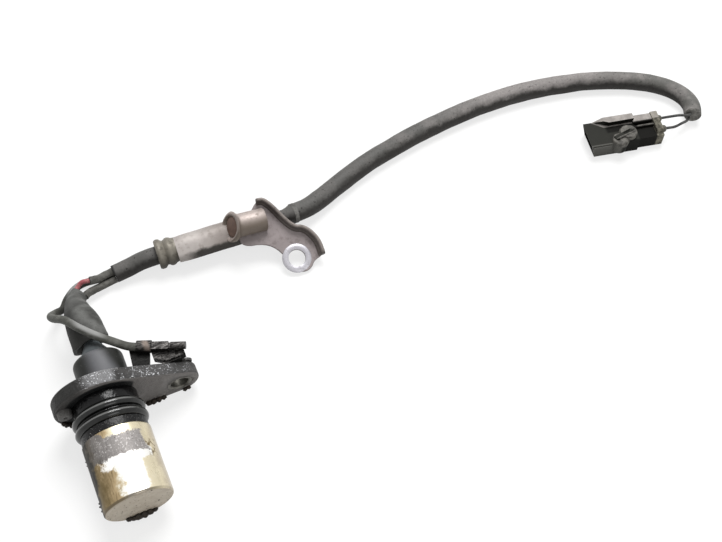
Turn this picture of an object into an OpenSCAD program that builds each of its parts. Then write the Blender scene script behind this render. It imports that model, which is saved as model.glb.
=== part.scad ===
// Crankshaft position sensor with its shielded pigtail, lying on a table as it was put down.
// Millimetres, +Z up, the table is z = 0. The can points to -Y, the bolt ear to +X.

/* [Sensor head] */
// outer radius of the metal can over the coil
can_r = 12; // [9:0.1:14]
// wall of the can
can_wall = 0.7; // [0.4:0.1:1.5]
// thickness of the can's closed end
can_end = 0.9; // [0.5:0.1:2]
// rounding of the can's closed edge
can_edge = 1; // [0.3:0.1:2]
// distance from the flange's seat to the tip of the can
reach = 39.5; // [30:0.5:55]
// length of the bare barrel between the flange and the can
barrel_len = 14.2; // [12:0.1:17]
// radius of the barrel
barrel_r = 11.7; // [9:0.1:14]

/* [Seal rings] */
// section radius of one ring
ring_sec = 1.6; // [1:0.1:2.2]
// how far a ring stands out of the barrel
ring_proud = 1.2; // [0.4:0.1:1.5]
// distance of the first ring from the flange
ring_first = 5.7; // [3:0.1:7]
// distance between the two rings
ring_pitch = 3.8; // [3.4:0.1:5]

/* [Flange] */
// thickness of the flange
flange_t = 5; // [3:0.5:9]
// radius of the round end of the flange
flange_r = 16; // [13:0.5:22]
// how far the round end's centre sits behind the can's axis
flange_back = 1.5; // [0:0.5:5]
// radius of the bolt ear
ear_r = 7.4; // [6:0.1:10]
// distance of the bolt hole from the can's axis
ear_off = 27.8; // [22:0.1:36]
// radius of the bolt's clearance hole in the steel bush
bolt_r = 3.3; // [2.6:0.1:4.3]
// wall of the steel bush
bush_wall = 1.3; // [0.8:0.1:2]

/* [Rear of the sensor] */
// radius of the round shoulder behind the flange
shoulder_r = 9; // [7:0.5:11]
// length of the shoulder
shoulder_len = 12; // [8:0.5:16]
// radius of the neck the boot sat on
neck_r = 2.8; // [2.2:0.1:4]
// length of the neck behind the shoulder
neck_len = 12; // [8:0.5:16]
// how far the neck's root stands out at the shoulder
root_out = 3.4; // [0.5:0.1:4]
// length of the tapered root of the neck
root_len = 5.6; // [2:0.1:6]

/* [Coil] */
// radius of the iron core
core_r = 3; // [2:0.1:5]
// outer radius of the copper winding
winding_r = 10; // [7:0.1:11]
// radius of the magnet and of its chamber
magnet_r = 6; // [4:0.1:8]

/* [Pigtail] */
// radius of the sheath
sheath_r = 3.9; // [3:0.1:5]
// radius of the shield's drain lead
drain_r = 1.5; // [1:0.1:2]
// radius of a sleeved lead
sleeve_r = 1.5; // [1:0.1:2]
// radius of a bare lead
lead_r = 0.9; // [0.6:0.1:1.4]
// radius of a wire at the connector
wire_r = 0.7; // [0.5:0.1:1.2]

/* [Bracket] */
// sheet thickness of the bracket
sheet = 1.3; // [0.8:0.1:2]
// radius of the rolled knuckle that stands on the plate
knuckle_r = 4.6; // [4.2:0.1:5.4]
// wall of the knuckle round its rubber core
knuckle_wall = 1.2; // [0.8:0.1:2]
// radius of the knuckle's flared end
flare_r = 6; // [5.4:0.1:7]
// radius of the bracket's bolt hole
bracket_bolt_r = 3.4; // [2.6:0.1:4.3]
// length of the crimped collar
collar_len = 9; // [6:0.5:14]
// length of the knuckle
knuckle_len = 14.4; // [9:0.2:16]

/* [Connector] */
// length of the connector's hood
hood_len = 21.5; // [16:0.5:30]
// length of the body behind the hood
rear_len = 11.2; // [8:0.2:16]
// wide side of the hood
hood_w = 12.8; // [11:0.1:18]
// narrow side of the hood
hood_t = 7; // [6.6:0.1:10]
// wall of the hood
hood_wall = 1.3; // [0.8:0.1:1.5]
// depth of the hood's socket
hood_deep = 14; // [8:0.5:18]
// height of the raised rail along the hood's far side
rail_h = 2.4; // [1:0.2:6]
// radius of a wire seal
seal_r = 1.8; // [1.4:0.1:2.2]

/* [Hidden] */
$fn = 64;
// where the sensor lies
sensor_x = -8.3;
sensor_y = 5.6;
disc_gap = ear_off + flange_back;
ear_dip = asin((flange_r - ear_r) / disc_gap);
seat_r = flange_r - flange_back * sin(ear_dip);
tip_dip = atan((seat_r - can_r) / reach);
axis_h = seat_r * cos(tip_dip);
// rear moulding, set off from the can's axis
rear_x = 2.3;
rear_y = 0.7;
shoulder_z = flange_t + shoulder_len;
neck_z = shoulder_z + neck_len;
// inside of the can
inner_r = can_r - can_wall;
inner_z = reach - can_end;
spigot_z = barrel_len + 5;
groove_r = barrel_r + ring_proud - 2 * ring_sec;
groove_w = 2 * ring_sec;
bush_r = bolt_r + bush_wall;
magnet_z = barrel_len + 2;
iron_z = magnet_z - 8;
potting_z = iron_z - 2;
spool_t = 1.2;
lead_way_r = 1.6;
// bracket
collar_r = sheath_r + sheet * 0.8;
bracket_h = 6.5;
strap_end = 36;
knuckle_x = 29.6;
knuckle_y = -3;
knuckle_z = 7.7;
flare_len = 2.2;
cup_r = 4.2;
cup_deep = 1;
core_out = 0.6;
bracket_yaw = -atan(1 / 18);
bracket_pos = [28, 63.5, bracket_h];
plate_slope = 25;
plate_lift = sheath_r + 1.3;
lip_h = 4.6;
plate_hole = [51.2, -20.7];
// connector
con_yaw = -12.5;
con_pos = [212.2, 40.7, 0];
con_len = hood_len + rear_len;
seal_deep = 2.6;
seal_out = 2.2;
seal_y = 7.8;
seal_z = 5.4;
seal_gap = 5.8;
rim_len = 3;
mouth_cut = 2.4;
pin_x = 8.6;
pin_y = 6.4;
pin_z = 3.3;
pin_gap = 5;
// earth clip
clip_pos = [8.6, 19.4, 20];
clip_yaw = -22;
clip_clear = 0.3;
clip_t = 1;
clip_ring_r = 6;
clip_tab_len = 9.6;
clip_tab_w = 7;
clip_wall = 0.8;
ferrule_len = 5.2;
shelf_z = 15.6;
shelf_h = 3;
leg_t = 1.2;
shelf_pts = [[12.6, 17.5], [23.6, 13.1], [23.6, 10.9], [16.5, 10.9], [12.6, 13.5]];
leg_pts = [[5.6, 20.1], [12.6, 17.7], [10.4, 10.6], [4.6, 10.6]];

// route of the sheath, by hand from its open end to its cut end
sheath_pts = [
    [10, 63.5, 3.9],
    [15.5, 64, 4.3],
    [21, 63.9, 5.6],
    [28, 63.5, 6.5],
    [46, 62.5, 6.5],
    [64, 61.5, 6.5],
    [82, 60.5, 6.5],
    [90, 61.5, 5.4],
    [98, 64.5, 4.3],
    [108, 68.7, 3.9],
    [119, 72.7, 3.9],
    [130, 75.8, 3.9],
    [141, 78.2, 3.9],
    [152, 80.2, 3.9],
    [163, 81.6, 3.9],
    [174, 82.6, 3.9],
    [185, 83, 3.9],
    [196, 82.8, 3.9],
    [207, 81.7, 3.9],
    [218, 79.7, 3.9],
    [228, 77.3, 3.9],
    [237, 74.2, 3.9],
    [246, 70.3, 3.9],
    [253.5, 66, 3.9],
    [259.5, 61.3, 3.9],
    [263.8, 55.7, 3.9],
    [266, 49.5, 3.9],
    [265.2, 44.3, 4.4],
    [262.6, 39.9, 5]
];

// route of the drain lead, from the sheath's open end to the earth clip
drain_pts = [
    [9.9, 65.2, 2.7],
    [6, 64.85, 2.4],
    [2, 65.6, 1.7],
    [-2, 66, 1.5],
    [-6, 64.9, 1.5],
    [-10, 61.5, 1.5],
    [-12.6, 57.1, 2.6],
    [-15.2, 54.5, 5.6],
    [-17, 50.9, 10],
    [-15.8, 46, 15.2],
    [-12, 39.8, 21.2],
    [-7.8, 32.2, 24.8],
    [-3, 27, 24],
    [1.6, 23.6, 22.2],
    [5.4, 21, 20.5],
    [8.6, 19.4, 20],
    [10.6, 18.6, 20]
];

// route of the red lead, from the boot to its sleeve
red_pts = [
    [-5.6, 61.35, 5.7],
    [-4.8, 62.15, 5.6],
    [-2.6, 63.2, 6.6],
    [0.4, 62.9, 6.4]
];

// route of the first sleeve, from the red lead to the sheath
sleeve_a_pts = [
    [0.45, 62.9, 6.4],
    [3.8, 63, 5.6],
    [7, 63.75, 5.3],
    [9.8, 64, 5.5]
];

// route of the second sleeve, from the boot to the sheath
sleeve_b_pts = [
    [-3.3, 58.5, 3.5],
    [-2.3, 59.5, 3.25],
    [0.6, 60.2, 3.3],
    [3.6, 60.8, 3.1],
    [7.2, 61.6, 2.8],
    [10.15, 61.9, 3]
];

// routes of the two wires at the connector
wire_a_pts = [
    [261.5, 40.6, 5.9],
    [261.1, 39.9, 6],
    [259.6, 39.7, 6.2],
    [256.4, 41.2, 6.1],
    [252.5, 42.75, 5.4],
    [248.6, 43.6, 5.4]
];
wire_b_pts = [
    [261.2, 40.55, 4],
    [260.8, 39.85, 4.1],
    [259, 38.6, 4.2],
    [255.6, 37.8, 4.8],
    [251.3, 37.05, 5.4],
    [247.4, 37.9, 5.4]
];

// the boot: centre line and radius, from the lead end to the open mouth
boot_pts = [
    [-5, 60.1, 3.8],
    [-6.2, 58.9, 4.1],
    [-7, 56.5, 5.4],
    [-7.4, 52.3, 8.4],
    [-7.3, 47.5, 11.3],
    [-7, 42.9, 13.8],
    [-6.5, 38.3, 15.5],
    [-6.3, 34, 16.1],
    [-6.2, 30, 15]
];
boot_rad = [3.5, 3.6, 3.7, 4.3, 5.1, 6, 6.6, 6.8, 6.9];
boot_wall = 1.2;
boot_deep = 5;

// unit vector
function unit(v) = v / norm(v);
// direction of a route at point i
function along(p, i) =
    i == 0 ? unit(p[1] - p[0]) :
    i == len(p) - 1 ? unit(p[i] - p[i - 1]) :
    unit(unit(p[i + 1] - p[i]) + unit(p[i] - p[i - 1]));
// ring of k points round p, square to t
function ring_at(p, t, r, k) =
    let (s = unit(cross([0, 0, 1], t)), u = cross(t, s))
    [for (j = [0:k - 1]) p + r * (cos(360 * j / k) * s + sin(360 * j / k) * u)];
// triangles between n rings of k points, with both ends closed
function skin(n, k) = concat(
    [[for (j = [0:k - 1]) j]],
    [for (i = [0:n - 2]) for (j = [0:k - 1]) [i * k + j, (i + 1) * k + j, (i + 1) * k + (j + 1) % k]],
    [for (i = [0:n - 2]) for (j = [0:k - 1]) [i * k + j, (i + 1) * k + (j + 1) % k, i * k + (j + 1) % k]],
    [[for (j = [k - 1:-1:0]) (n - 1) * k + j]]);

module cord(p, r, k) {
    polyhedron(points = [for (i = [0:len(p) - 1]) each ring_at(p[i], along(p, i), r, k)],
        faces = skin(len(p), k), convexity = 6);
}

// the sensor's own frame: z toward the tip, x along the bolt ear, seat of the flange at z = 0
module on_sensor() {
    translate([sensor_x, sensor_y, axis_h])
        rotate([90 + tip_dip, 0, 0])
            rotate([0, 0, -ear_dip])
                children();
}

// flat plate in the flange's outline
module flange_plate(t, r_big, r_ear) {
    a = asin((r_big - r_ear) / disc_gap);
    translate([-flange_back, 0, 0])
        cylinder(r = r_big, h = t);
    translate([ear_off, 0, 0])
        cylinder(r = r_ear, h = t);
    linear_extrude(t)
        polygon([
            [-flange_back + r_big * sin(a), r_big * cos(a)],
            [-flange_back + r_big * sin(a), -r_big * cos(a)],
            [ear_off + r_ear * sin(a), -r_ear * cos(a)],
            [ear_off + r_ear * sin(a), r_ear * cos(a)]
        ]);
}

module ring_groove(z) {
    translate([0, 0, z - groove_w / 2])
        difference() {
            cylinder(r = barrel_r + 2, h = groove_w);
            translate([0, 0, -1])
                cylinder(r = groove_r, h = groove_w + 2);
        }
}

module sensor_housing() {
    color([0.09, 0.09, 0.1])
        on_sensor()
            difference() {
                union() {
                    translate([0, 0, -flange_t])
                        flange_plate(flange_t, flange_r, ear_r);
                    cylinder(r = barrel_r, h = barrel_len);
                    cylinder(r = inner_r, h = spigot_z);
                    translate([rear_x, rear_y, -shoulder_z])
                        rotate_extrude()
                            union() {
                                translate([0, 2.5])
                                    square([shoulder_r, shoulder_len - 2.4]);
                                square([shoulder_r - 2.5, 3]);
                                translate([shoulder_r - 2.5, 2.5])
                                    circle(r = 2.5);
                            }
                    translate([rear_x, rear_y, -neck_z])
                        cylinder(r = neck_r, h = neck_len + 1);
                    translate([rear_x, rear_y, -shoulder_z - root_len])
                        cylinder(r1 = neck_r, r2 = neck_r + root_out, h = root_len + 0.5);
                    translate([-14.5, 0.8, -0.5])
                        cylinder(r = 2.2, h = 1.6);
                }
                ring_groove(ring_first);
                ring_groove(ring_first + ring_pitch);
                translate([ear_off, 0, -flange_t - 1])
                    cylinder(r = bush_r, h = flange_t + 2);
                translate([0, 0, -2])
                    cylinder(r = magnet_r, h = spigot_z + 3);
                translate([rear_x, rear_y, -neck_z - 1])
                    cylinder(r = lead_way_r, h = neck_z);
            }
}

module bolt_bush() {
    color([0.62, 0.6, 0.57])
        on_sensor()
            translate([ear_off, 0, -flange_t])
                difference() {
                    cylinder(r = bush_r, h = flange_t);
                    translate([0, 0, -1])
                        cylinder(r = bolt_r, h = flange_t + 2);
                }
}

module seal_ring(z) {
    color([0.05, 0.05, 0.05])
        on_sensor()
            translate([0, 0, z])
                rotate_extrude()
                    translate([groove_r + ring_sec, 0])
                        circle(r = ring_sec);
}

module o_ring_upper() {
    seal_ring(ring_first);
}

module o_ring_lower() {
    seal_ring(ring_first + ring_pitch);
}

module can() {
    color([0.78, 0.7, 0.5])
        on_sensor()
            difference() {
                rotate_extrude()
                    union() {
                        translate([0, barrel_len])
                            square([can_r, reach - barrel_len - can_edge]);
                        translate([0, reach - can_edge - 0.1])
                            square([can_r - can_edge, can_edge + 0.1]);
                        translate([can_r - can_edge, reach - can_edge])
                            circle(r = can_edge);
                    }
                translate([0, 0, barrel_len - 1])
                    cylinder(r = inner_r, h = inner_z - barrel_len + 1);
            }
}

module coil_bobbin() {
    color([0.85, 0.82, 0.72])
        on_sensor()
            difference() {
                union() {
                    translate([0, 0, spigot_z])
                        cylinder(r = inner_r - 0.3, h = spool_t);
                    translate([0, 0, inner_z - spool_t])
                        cylinder(r = inner_r - 0.3, h = spool_t);
                    translate([0, 0, spigot_z])
                        cylinder(r = core_r + spool_t, h = inner_z - spigot_z);
                }
                translate([0, 0, spigot_z - 1])
                    cylinder(r = core_r, h = inner_z - spigot_z + 2);
            }
}

module coil_winding() {
    color([0.72, 0.42, 0.2])
        on_sensor()
            translate([0, 0, spigot_z + spool_t])
                difference() {
                    cylinder(r = winding_r, h = inner_z - spigot_z - 2 * spool_t);
                    translate([0, 0, -1])
                        cylinder(r = core_r + spool_t, h = inner_z);
                }
}

module pole_piece() {
    color([0.5, 0.5, 0.52])
        on_sensor()
            union() {
                translate([0, 0, magnet_z])
                    cylinder(r = magnet_r, h = spigot_z - magnet_z);
                translate([0, 0, magnet_z])
                    cylinder(r = core_r, h = inner_z - magnet_z);
            }
}

module magnet() {
    color([0.35, 0.35, 0.38])
        on_sensor()
            translate([0, 0, iron_z])
                cylinder(r = magnet_r, h = magnet_z - iron_z);
}

module back_iron() {
    color([0.45, 0.45, 0.46])
        on_sensor()
            translate([0, 0, potting_z])
                cylinder(r = magnet_r, h = iron_z - potting_z);
}

module potting() {
    color([0.2, 0.18, 0.15])
        on_sensor()
            union() {
                translate([0, 0, -2])
                    cylinder(r = magnet_r, h = potting_z + 2);
                translate([rear_x, rear_y, -neck_z])
                    cylinder(r = lead_way_r, h = neck_z - 2);
            }
}

module boot() {
    color([0.36, 0.36, 0.35])
        let (n = len(boot_pts), k = 16)
        polyhedron(
            points = concat(
                [for (i = [0:n - 1]) each ring_at(boot_pts[i], along(boot_pts, i), boot_rad[i], k)],
                [for (i = [n - 1:-1:boot_deep])
                    each ring_at(boot_pts[i], along(boot_pts, i), boot_rad[i] - boot_wall, k)]),
            faces = skin(2 * n - boot_deep, k), convexity = 6);
}

// earth terminal: ring on the ear's back face, folded tab and crimped barrel for the drain lead
module earth_clip() {
    color([0.45, 0.42, 0.4])
        union() {
            on_sensor()
                translate([ear_off, 0, -flange_t - clip_t])
                    difference() {
                        union() {
                            cylinder(r = clip_ring_r, h = clip_t);
                            rotate([0, 0, 90 + ear_dip])
                                translate([0, -clip_tab_w / 2, 0])
                                    cube([clip_tab_len, clip_tab_w, clip_t]);
                        }
                        translate([0, 0, -1])
                            cylinder(r = bolt_r + clip_clear, h = clip_t + 2);
                    }
            difference() {
                translate([0, 0, shelf_z])
                    linear_extrude(shelf_h)
                        polygon(shelf_pts);
                for (i = [0:3])
                    translate([13.6 + 2.6 * i, 8.5, shelf_z + shelf_h - 0.4])
                        rotate([0, 0, clip_yaw])
                            cube([1, 12, 1]);
            }
            translate([0, 0, shelf_z + shelf_h - leg_t])
                linear_extrude(leg_t)
                    polygon(leg_pts);
            translate(clip_pos)
                rotate([0, 0, clip_yaw]) {
                    difference() {
                        rotate([0, 90, 0])
                            cylinder(r = drain_r + clip_wall, h = ferrule_len);
                        translate([-1, 0, 0])
                            rotate([0, 90, 0])
                                cylinder(r = drain_r, h = ferrule_len - 0.8);
                    }
                    translate([4.8, -1.5, -1.8])
                        cube([6.4, 3, 2.8]);
                    translate([11, -1.1, -0.6])
                        cube([2.4, 2.2, 1.2]);
                    translate([12, 0, 0.2])
                        rotate([0, 90, 0])
                            cylinder(r = 1.4, h = 5.4);
                    translate([13.6, -1.5, -2])
                        cube([1.2, 3, 2.2]);
                }
        }
}

module drain_lead() {
    color([0.5, 0.5, 0.48])
        cord(drain_pts, drain_r, 8);
}

module red_lead() {
    color([0.7, 0.35, 0.35])
        cord(red_pts, lead_r, 8);
}

module sleeve_a() {
    color([0.45, 0.45, 0.42])
        cord(sleeve_a_pts, sleeve_r, 8);
}

module sleeve_b() {
    color([0.42, 0.42, 0.4])
        cord(sleeve_b_pts, sleeve_r, 8);
}

module sheath() {
    color([0.4, 0.41, 0.42])
        cord(sheath_pts, sheath_r, 12);
}

module on_bracket() {
    translate(bracket_pos)
        rotate([0, 0, bracket_yaw])
            children();
}

module along_x(r, x, h) {
    translate([x, 0, 0])
        rotate([0, 90, 0])
            cylinder(r = r, h = h);
}

// the knuckle's own axis, above and in front of the sheath
module on_knuckle() {
    translate([0, knuckle_y, knuckle_z])
        children();
}

// the part of the bracket that lies on the sloping plane over the sheath
module on_plate() {
    translate([0, 0, plate_lift])
        rotate([plate_slope, 0, 0])
            children();
}

// the bracket's plate with the lip turned up along its far and outer edges
module plate_blank() {
    difference() {
        linear_extrude(lip_h)
            polygon([
                [43, 6], [46.8, 5.6], [53.3, -8.2], [58, -9.4], [61.8, -15.8], [62, -22.4], [57.6, -23.6],
                [55.6, -26.2], [52.4, -27], [49, -25.4], [46, -16], [41, -11.4], [32.4, -10.2], [32.4, -5], [39, -3.5]
            ]);
        translate([0, 0, sheet])
            linear_extrude(lip_h)
                polygon([
                    [41, 4.6], [46, 4.5], [52.5, -9.2], [57.3, -10.6], [60.6, -16.2], [60.8, -22.2],
                    [63, -23], [60, -30], [45, -30], [25, -14], [25, 4.6]
                ]);
    }
}

module bracket() {
    color([0.75, 0.71, 0.66])
        on_bracket()
            difference() {
                union() {
                    along_x(collar_r, 0, collar_len);
                    along_x(collar_r + 0.9, 0, 2);
                    along_x(collar_r + 0.6, 4, 2);
                    on_knuckle() {
                        along_x(flare_r, knuckle_x, flare_len);
                        along_x(knuckle_r, knuckle_x, knuckle_len);
                    }
                    translate([collar_len - 0.5, 0, 0])
                        rotate([90, 0, 90])
                            linear_extrude(strap_end - collar_len + 0.5)
                                polygon([
                                    [4.6, 0.6], [3.8, 3.4], [1.6, 5], [-1.6, 5.1], [-6.2, 2.6],
                                    [-6.8, 0.6], [-5.8, 0.4], [-5.2, 1.8], [-2, 3.6], [-2, 2.6],
                                    [0, 3], [2.4, 2.4], [3.6, 0.6]
                                ]);
                    on_plate()
                        plate_blank();
                }
                along_x(sheath_r, -1, knuckle_x + knuckle_len + 4);
                on_knuckle() {
                    along_x(cup_r, knuckle_x - 1, cup_deep + 1);
                    along_x(knuckle_r - knuckle_wall, knuckle_x, knuckle_len + 1);
                }
                on_plate()
                    translate([plate_hole[0], plate_hole[1], -5])
                        cylinder(r = bracket_bolt_r, h = 12);
            }
}

// rubber core of the knuckle
module clamp_bush() {
    color([0.42, 0.26, 0.2])
        on_bracket()
            on_knuckle() {
                along_x(cup_r, knuckle_x + cup_deep - core_out, core_out);
                along_x(knuckle_r - knuckle_wall, knuckle_x + cup_deep - core_out, knuckle_len - cup_deep + core_out);
            }
}

// the connector's own frame: x from the mouth to the wires, y from the near side back, z up
module on_connector() {
    translate(con_pos)
        rotate([0, 0, con_yaw])
            children();
}

// raised rail along the far side of the hood, with a sloping front end
module connector_rail() {
    difference() {
        translate([0, 0, hood_t - 0.5])
            linear_extrude(rail_h + 0.5)
                polygon([[4, hood_w], [10.4, 9.7], [hood_len, 9.9], [hood_len, hood_w]]);
        translate([4, 0, hood_t])
            rotate([0, -30, 0])
                cube([20, hood_w + 2, 20]);
    }
}

module connector_housing() {
    color([0.24, 0.24, 0.26])
        on_connector()
            difference() {
                union() {
                    cube([hood_len, hood_w, hood_t]);
                    connector_rail();
                    translate([hood_len - 0.5, 0.8, 0.4])
                        cube([rear_len + 0.5, hood_w - 1.2, hood_t - 1]);
                    translate([hood_len - 0.5, 8.6, 0.4])
                        cube([rear_len + 0.5, hood_w - 9, hood_t + 0.6]);
                    translate([hood_len - 0.5, 6.4, 0.4])
                        cube([rear_len + 0.5, 0.9, hood_t]);
                    translate([con_len - rim_len, 0, 0])
                        rotate([90, 0, 90])
                            linear_extrude(rim_len)
                                polygon([
                                    [1.8, 2.4], [1.8, 6.4], [3, 8], [12.6, 8.6], [12.8, 1.4], [11.6, 0.4], [4, 0.4]
                                ]);
                    translate([17, 4, hood_t - 0.5])
                        cylinder(r = 3.6, h = 2.2);
                    translate([12.8, 1.2, 2.4])
                        cylinder(r = 3.4, h = hood_t - 1.2);
                    translate([10.6, 0.9, hood_t - 0.5])
                        rotate([0, 0, 20])
                            cube([10, 1.5, 2.4]);
                    translate([0.6, -0.6, hood_t - 2.2])
                        cube([8, 1.4, 1.6]);
                }
                translate([-1, hood_wall, hood_wall])
                    cube([hood_deep + 1, hood_w - 2 * hood_wall, hood_t - 2 * hood_wall]);
                translate([19, 5.4, hood_t - 0.4])
                    cylinder(r = 0.9, h = 4);
                translate([13.2, 0.2, hood_t - 0.6])
                    cylinder(r = 1, h = 4);
                translate([0, hood_w + 1, 0])
                    rotate([90, 0, 0])
                        linear_extrude(hood_w + 2)
                            polygon([[-1, -1], [mouth_cut, -1], [0, hood_t + 0.1], [-1, hood_t + 0.1]]);
                for (k = [-1, 1])
                    translate([con_len - seal_deep, seal_y + k * seal_gap / 2, seal_z])
                        rotate([0, 90, 0])
                            cylinder(r = seal_r, h = seal_deep + 1);
                for (k = [-1, 1])
                    translate([hood_deep - 1, pin_y + k * pin_gap / 2 - 1, pin_z])
                        cube([7, 2, 0.8]);
            }
}

module wire_seal(k) {
    color([0.62, 0.6, 0.55])
        on_connector()
            translate([con_len - seal_deep, seal_y + k * seal_gap / 2, seal_z])
                rotate([0, 90, 0])
                    cylinder(r = seal_r, h = seal_deep + seal_out);
}

module seal_a() {
    wire_seal(1);
}

module seal_b() {
    wire_seal(-1);
}

module contact_pin(k) {
    color([0.7, 0.68, 0.62])
        on_connector()
            translate([pin_x, pin_y + k * pin_gap / 2 - 1, pin_z])
                cube([hood_deep + 6 - pin_x, 2, 0.8]);
}

module pin_a() {
    contact_pin(1);
}

module pin_b() {
    contact_pin(-1);
}

module wire_a() {
    color([0.3, 0.3, 0.32])
        cord(wire_a_pts, wire_r, 8);
}

module wire_b() {
    color([0.3, 0.3, 0.32])
        cord(wire_b_pts, wire_r, 8);
}

sensor_housing();
bolt_bush();
o_ring_upper();
o_ring_lower();
can();
coil_bobbin();
coil_winding();
pole_piece();
magnet();
back_iron();
potting();
boot();
earth_clip();
drain_lead();
red_lead();
sleeve_a();
sleeve_b();
sheath();
bracket();
clamp_bush();
connector_housing();
seal_a();
seal_b();
pin_a();
pin_b();
wire_a();
wire_b();
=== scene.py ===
"""Looks of a crankshaft position sensor with its pigtail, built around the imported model."""

import math

import bpy
from mathutils import Matrix, Vector, noise


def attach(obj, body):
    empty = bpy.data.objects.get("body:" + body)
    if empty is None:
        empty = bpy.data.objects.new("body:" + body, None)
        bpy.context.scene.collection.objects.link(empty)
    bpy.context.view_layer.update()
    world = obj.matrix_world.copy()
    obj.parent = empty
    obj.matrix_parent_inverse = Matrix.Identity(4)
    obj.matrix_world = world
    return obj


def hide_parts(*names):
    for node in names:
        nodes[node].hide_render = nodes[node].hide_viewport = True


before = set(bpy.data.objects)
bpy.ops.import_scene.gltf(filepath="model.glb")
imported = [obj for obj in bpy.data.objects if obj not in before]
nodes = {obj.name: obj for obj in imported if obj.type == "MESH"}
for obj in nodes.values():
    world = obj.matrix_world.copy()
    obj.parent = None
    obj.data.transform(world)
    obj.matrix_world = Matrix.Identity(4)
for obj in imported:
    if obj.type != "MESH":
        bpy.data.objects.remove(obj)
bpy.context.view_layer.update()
scene = bpy.context.scene
MM = 0.001
TURN = 2 * math.pi
UP = (0, 0, 1)

# Sizes in millimetres, the same values as in the part's source.
CAN_R, CAN_EDGE, REACH = 12.0, 1.0, 39.5
BARREL_R, BARREL_LEN = 11.7, 14.2
RING_SEC, RING_PROUD, RING_FIRST, RING_PITCH = 1.6, 1.2, 5.7, 3.8
FLANGE_T, FLANGE_R, FLANGE_BACK = 5.0, 16.0, 1.5
EAR_R, EAR_OFF, BOLT_R, BUSH_WALL = 7.4, 27.8, 3.3, 1.3
SHOULDER_R, SHOULDER_LEN, NECK_R, NECK_LEN = 9.0, 12.0, 2.8, 12.0
ROOT_OUT, ROOT_LEN = 3.4, 5.6
REAR_X, REAR_Y = 2.3, 0.7
SENSOR_X, SENSOR_Y = -8.3, 5.6
SHEATH_R, DRAIN_R, SLEEVE_R, LEAD_R = 3.9, 1.5, 1.5, 0.9
BOOT_WALL = 1.2
SHEET, COLLAR_R, COLLAR_LEN = 1.3, 4.94, 9.0
KNUCKLE_R, KNUCKLE_LEN, FLARE_R, CUP_R = 4.6, 14.4, 6.0, 4.2
KNUCKLE_X, KNUCKLE_Y, KNUCKLE_Z = 29.6, -3.0, 7.7
PLATE_LIFT, PLATE_SLOPE, LIP_H = 5.2, math.radians(25), 4.6
PLATE_HOLE, PLATE_HOLE_R = (51.2, -20.7), 3.4
HOOD_T = 7.0

# The wires look a little slimmer than the solids, whose radius is 0.7.
WIRE_R = 0.58

# The sensor's own frame: z toward the tip, x along the bolt ear, flange seat at z = 0.
EAR_DIP = math.asin((FLANGE_R - EAR_R) / (EAR_OFF + FLANGE_BACK))
SEAT_R = FLANGE_R - FLANGE_BACK * math.sin(EAR_DIP)
TIP_DIP = math.atan((SEAT_R - CAN_R) / REACH)
AXIS_H = SEAT_R * math.cos(TIP_DIP)
SENSOR = (
    Matrix.Translation(Vector((SENSOR_X, SENSOR_Y, AXIS_H)) * MM)
    @ Matrix.Rotation(math.pi / 2 + TIP_DIP, 4, "X")
    @ Matrix.Rotation(-EAR_DIP, 4, "Z")
)

# The bracket's frame: x along the sheath. The connector's frame: x from the mouth to the wires.
BRACKET = Matrix.Translation((0.028, 0.0635, 0.0065)) @ Matrix.Rotation(-math.atan(1 / 18), 4, "Z")
ON_PLATE = BRACKET @ Matrix.Translation((0, 0, PLATE_LIFT * MM)) @ Matrix.Rotation(PLATE_SLOPE, 4, "X")
ALONG_X = Matrix.Rotation(math.pi / 2, 4, "Y")
CONNECTOR = Matrix.Translation((0.2122, 0.0407, 0)) @ Matrix.Rotation(math.radians(-12.5), 4, "Z")


def metres(points):
    """Points given in millimetres."""
    return [tuple(round(c * MM, 7) for c in p) for p in points]


# Routes in millimetres, repeated from the part's source.
SHEATH_PTS = metres([
    (10, 63.5, 3.9), (15.5, 64, 4.3), (21, 63.9, 5.6), (28, 63.5, 6.5), (46, 62.5, 6.5), (64, 61.5, 6.5),
    (82, 60.5, 6.5), (90, 61.5, 5.4), (98, 64.5, 4.3), (108, 68.7, 3.9), (119, 72.7, 3.9), (130, 75.8, 3.9),
    (141, 78.2, 3.9), (152, 80.2, 3.9), (163, 81.6, 3.9), (174, 82.6, 3.9), (185, 83, 3.9),
    (196, 82.8, 3.9), (207, 81.7, 3.9), (218, 79.7, 3.9), (228, 77.3, 3.9), (237, 74.2, 3.9),
    (246, 70.3, 3.9), (253.5, 66, 3.9), (259.5, 61.3, 3.9), (263.8, 55.7, 3.9), (266, 49.5, 3.9),
    (265.2, 44.3, 4.4), (262.6, 39.9, 5),
])
DRAIN_PTS = metres([
    (9.9, 65.2, 2.7), (6, 64.85, 2.4), (2, 65.6, 1.7), (-2, 66, 1.5), (-6, 64.9, 1.5), (-10, 61.5, 1.5),
    (-12.6, 57.1, 2.6), (-15.2, 54.5, 5.6), (-17, 50.9, 10), (-15.8, 46, 15.2), (-12, 39.8, 21.2),
    (-7.8, 32.2, 24.8), (-3, 27, 24), (1.6, 23.6, 22.2), (5.4, 21, 20.5), (8.6, 19.4, 20), (10.6, 18.6, 20),
])
RED_PTS = metres([
    (-5.6, 61.35, 5.7), (-4.8, 62.15, 5.6), (-2.6, 63.2, 6.6), (0.4, 62.9, 6.4),
])
SLEEVE_A_PTS = metres([
    (0.45, 62.9, 6.4), (3.8, 63, 5.6), (7, 63.75, 5.3), (9.8, 64, 5.5),
])
SLEEVE_B_PTS = metres([
    (-3.3, 58.5, 3.5), (-2.3, 59.5, 3.25), (0.6, 60.2, 3.3), (3.6, 60.8, 3.1), (7.2, 61.6, 2.8),
    (10.15, 61.9, 3),
])
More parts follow.
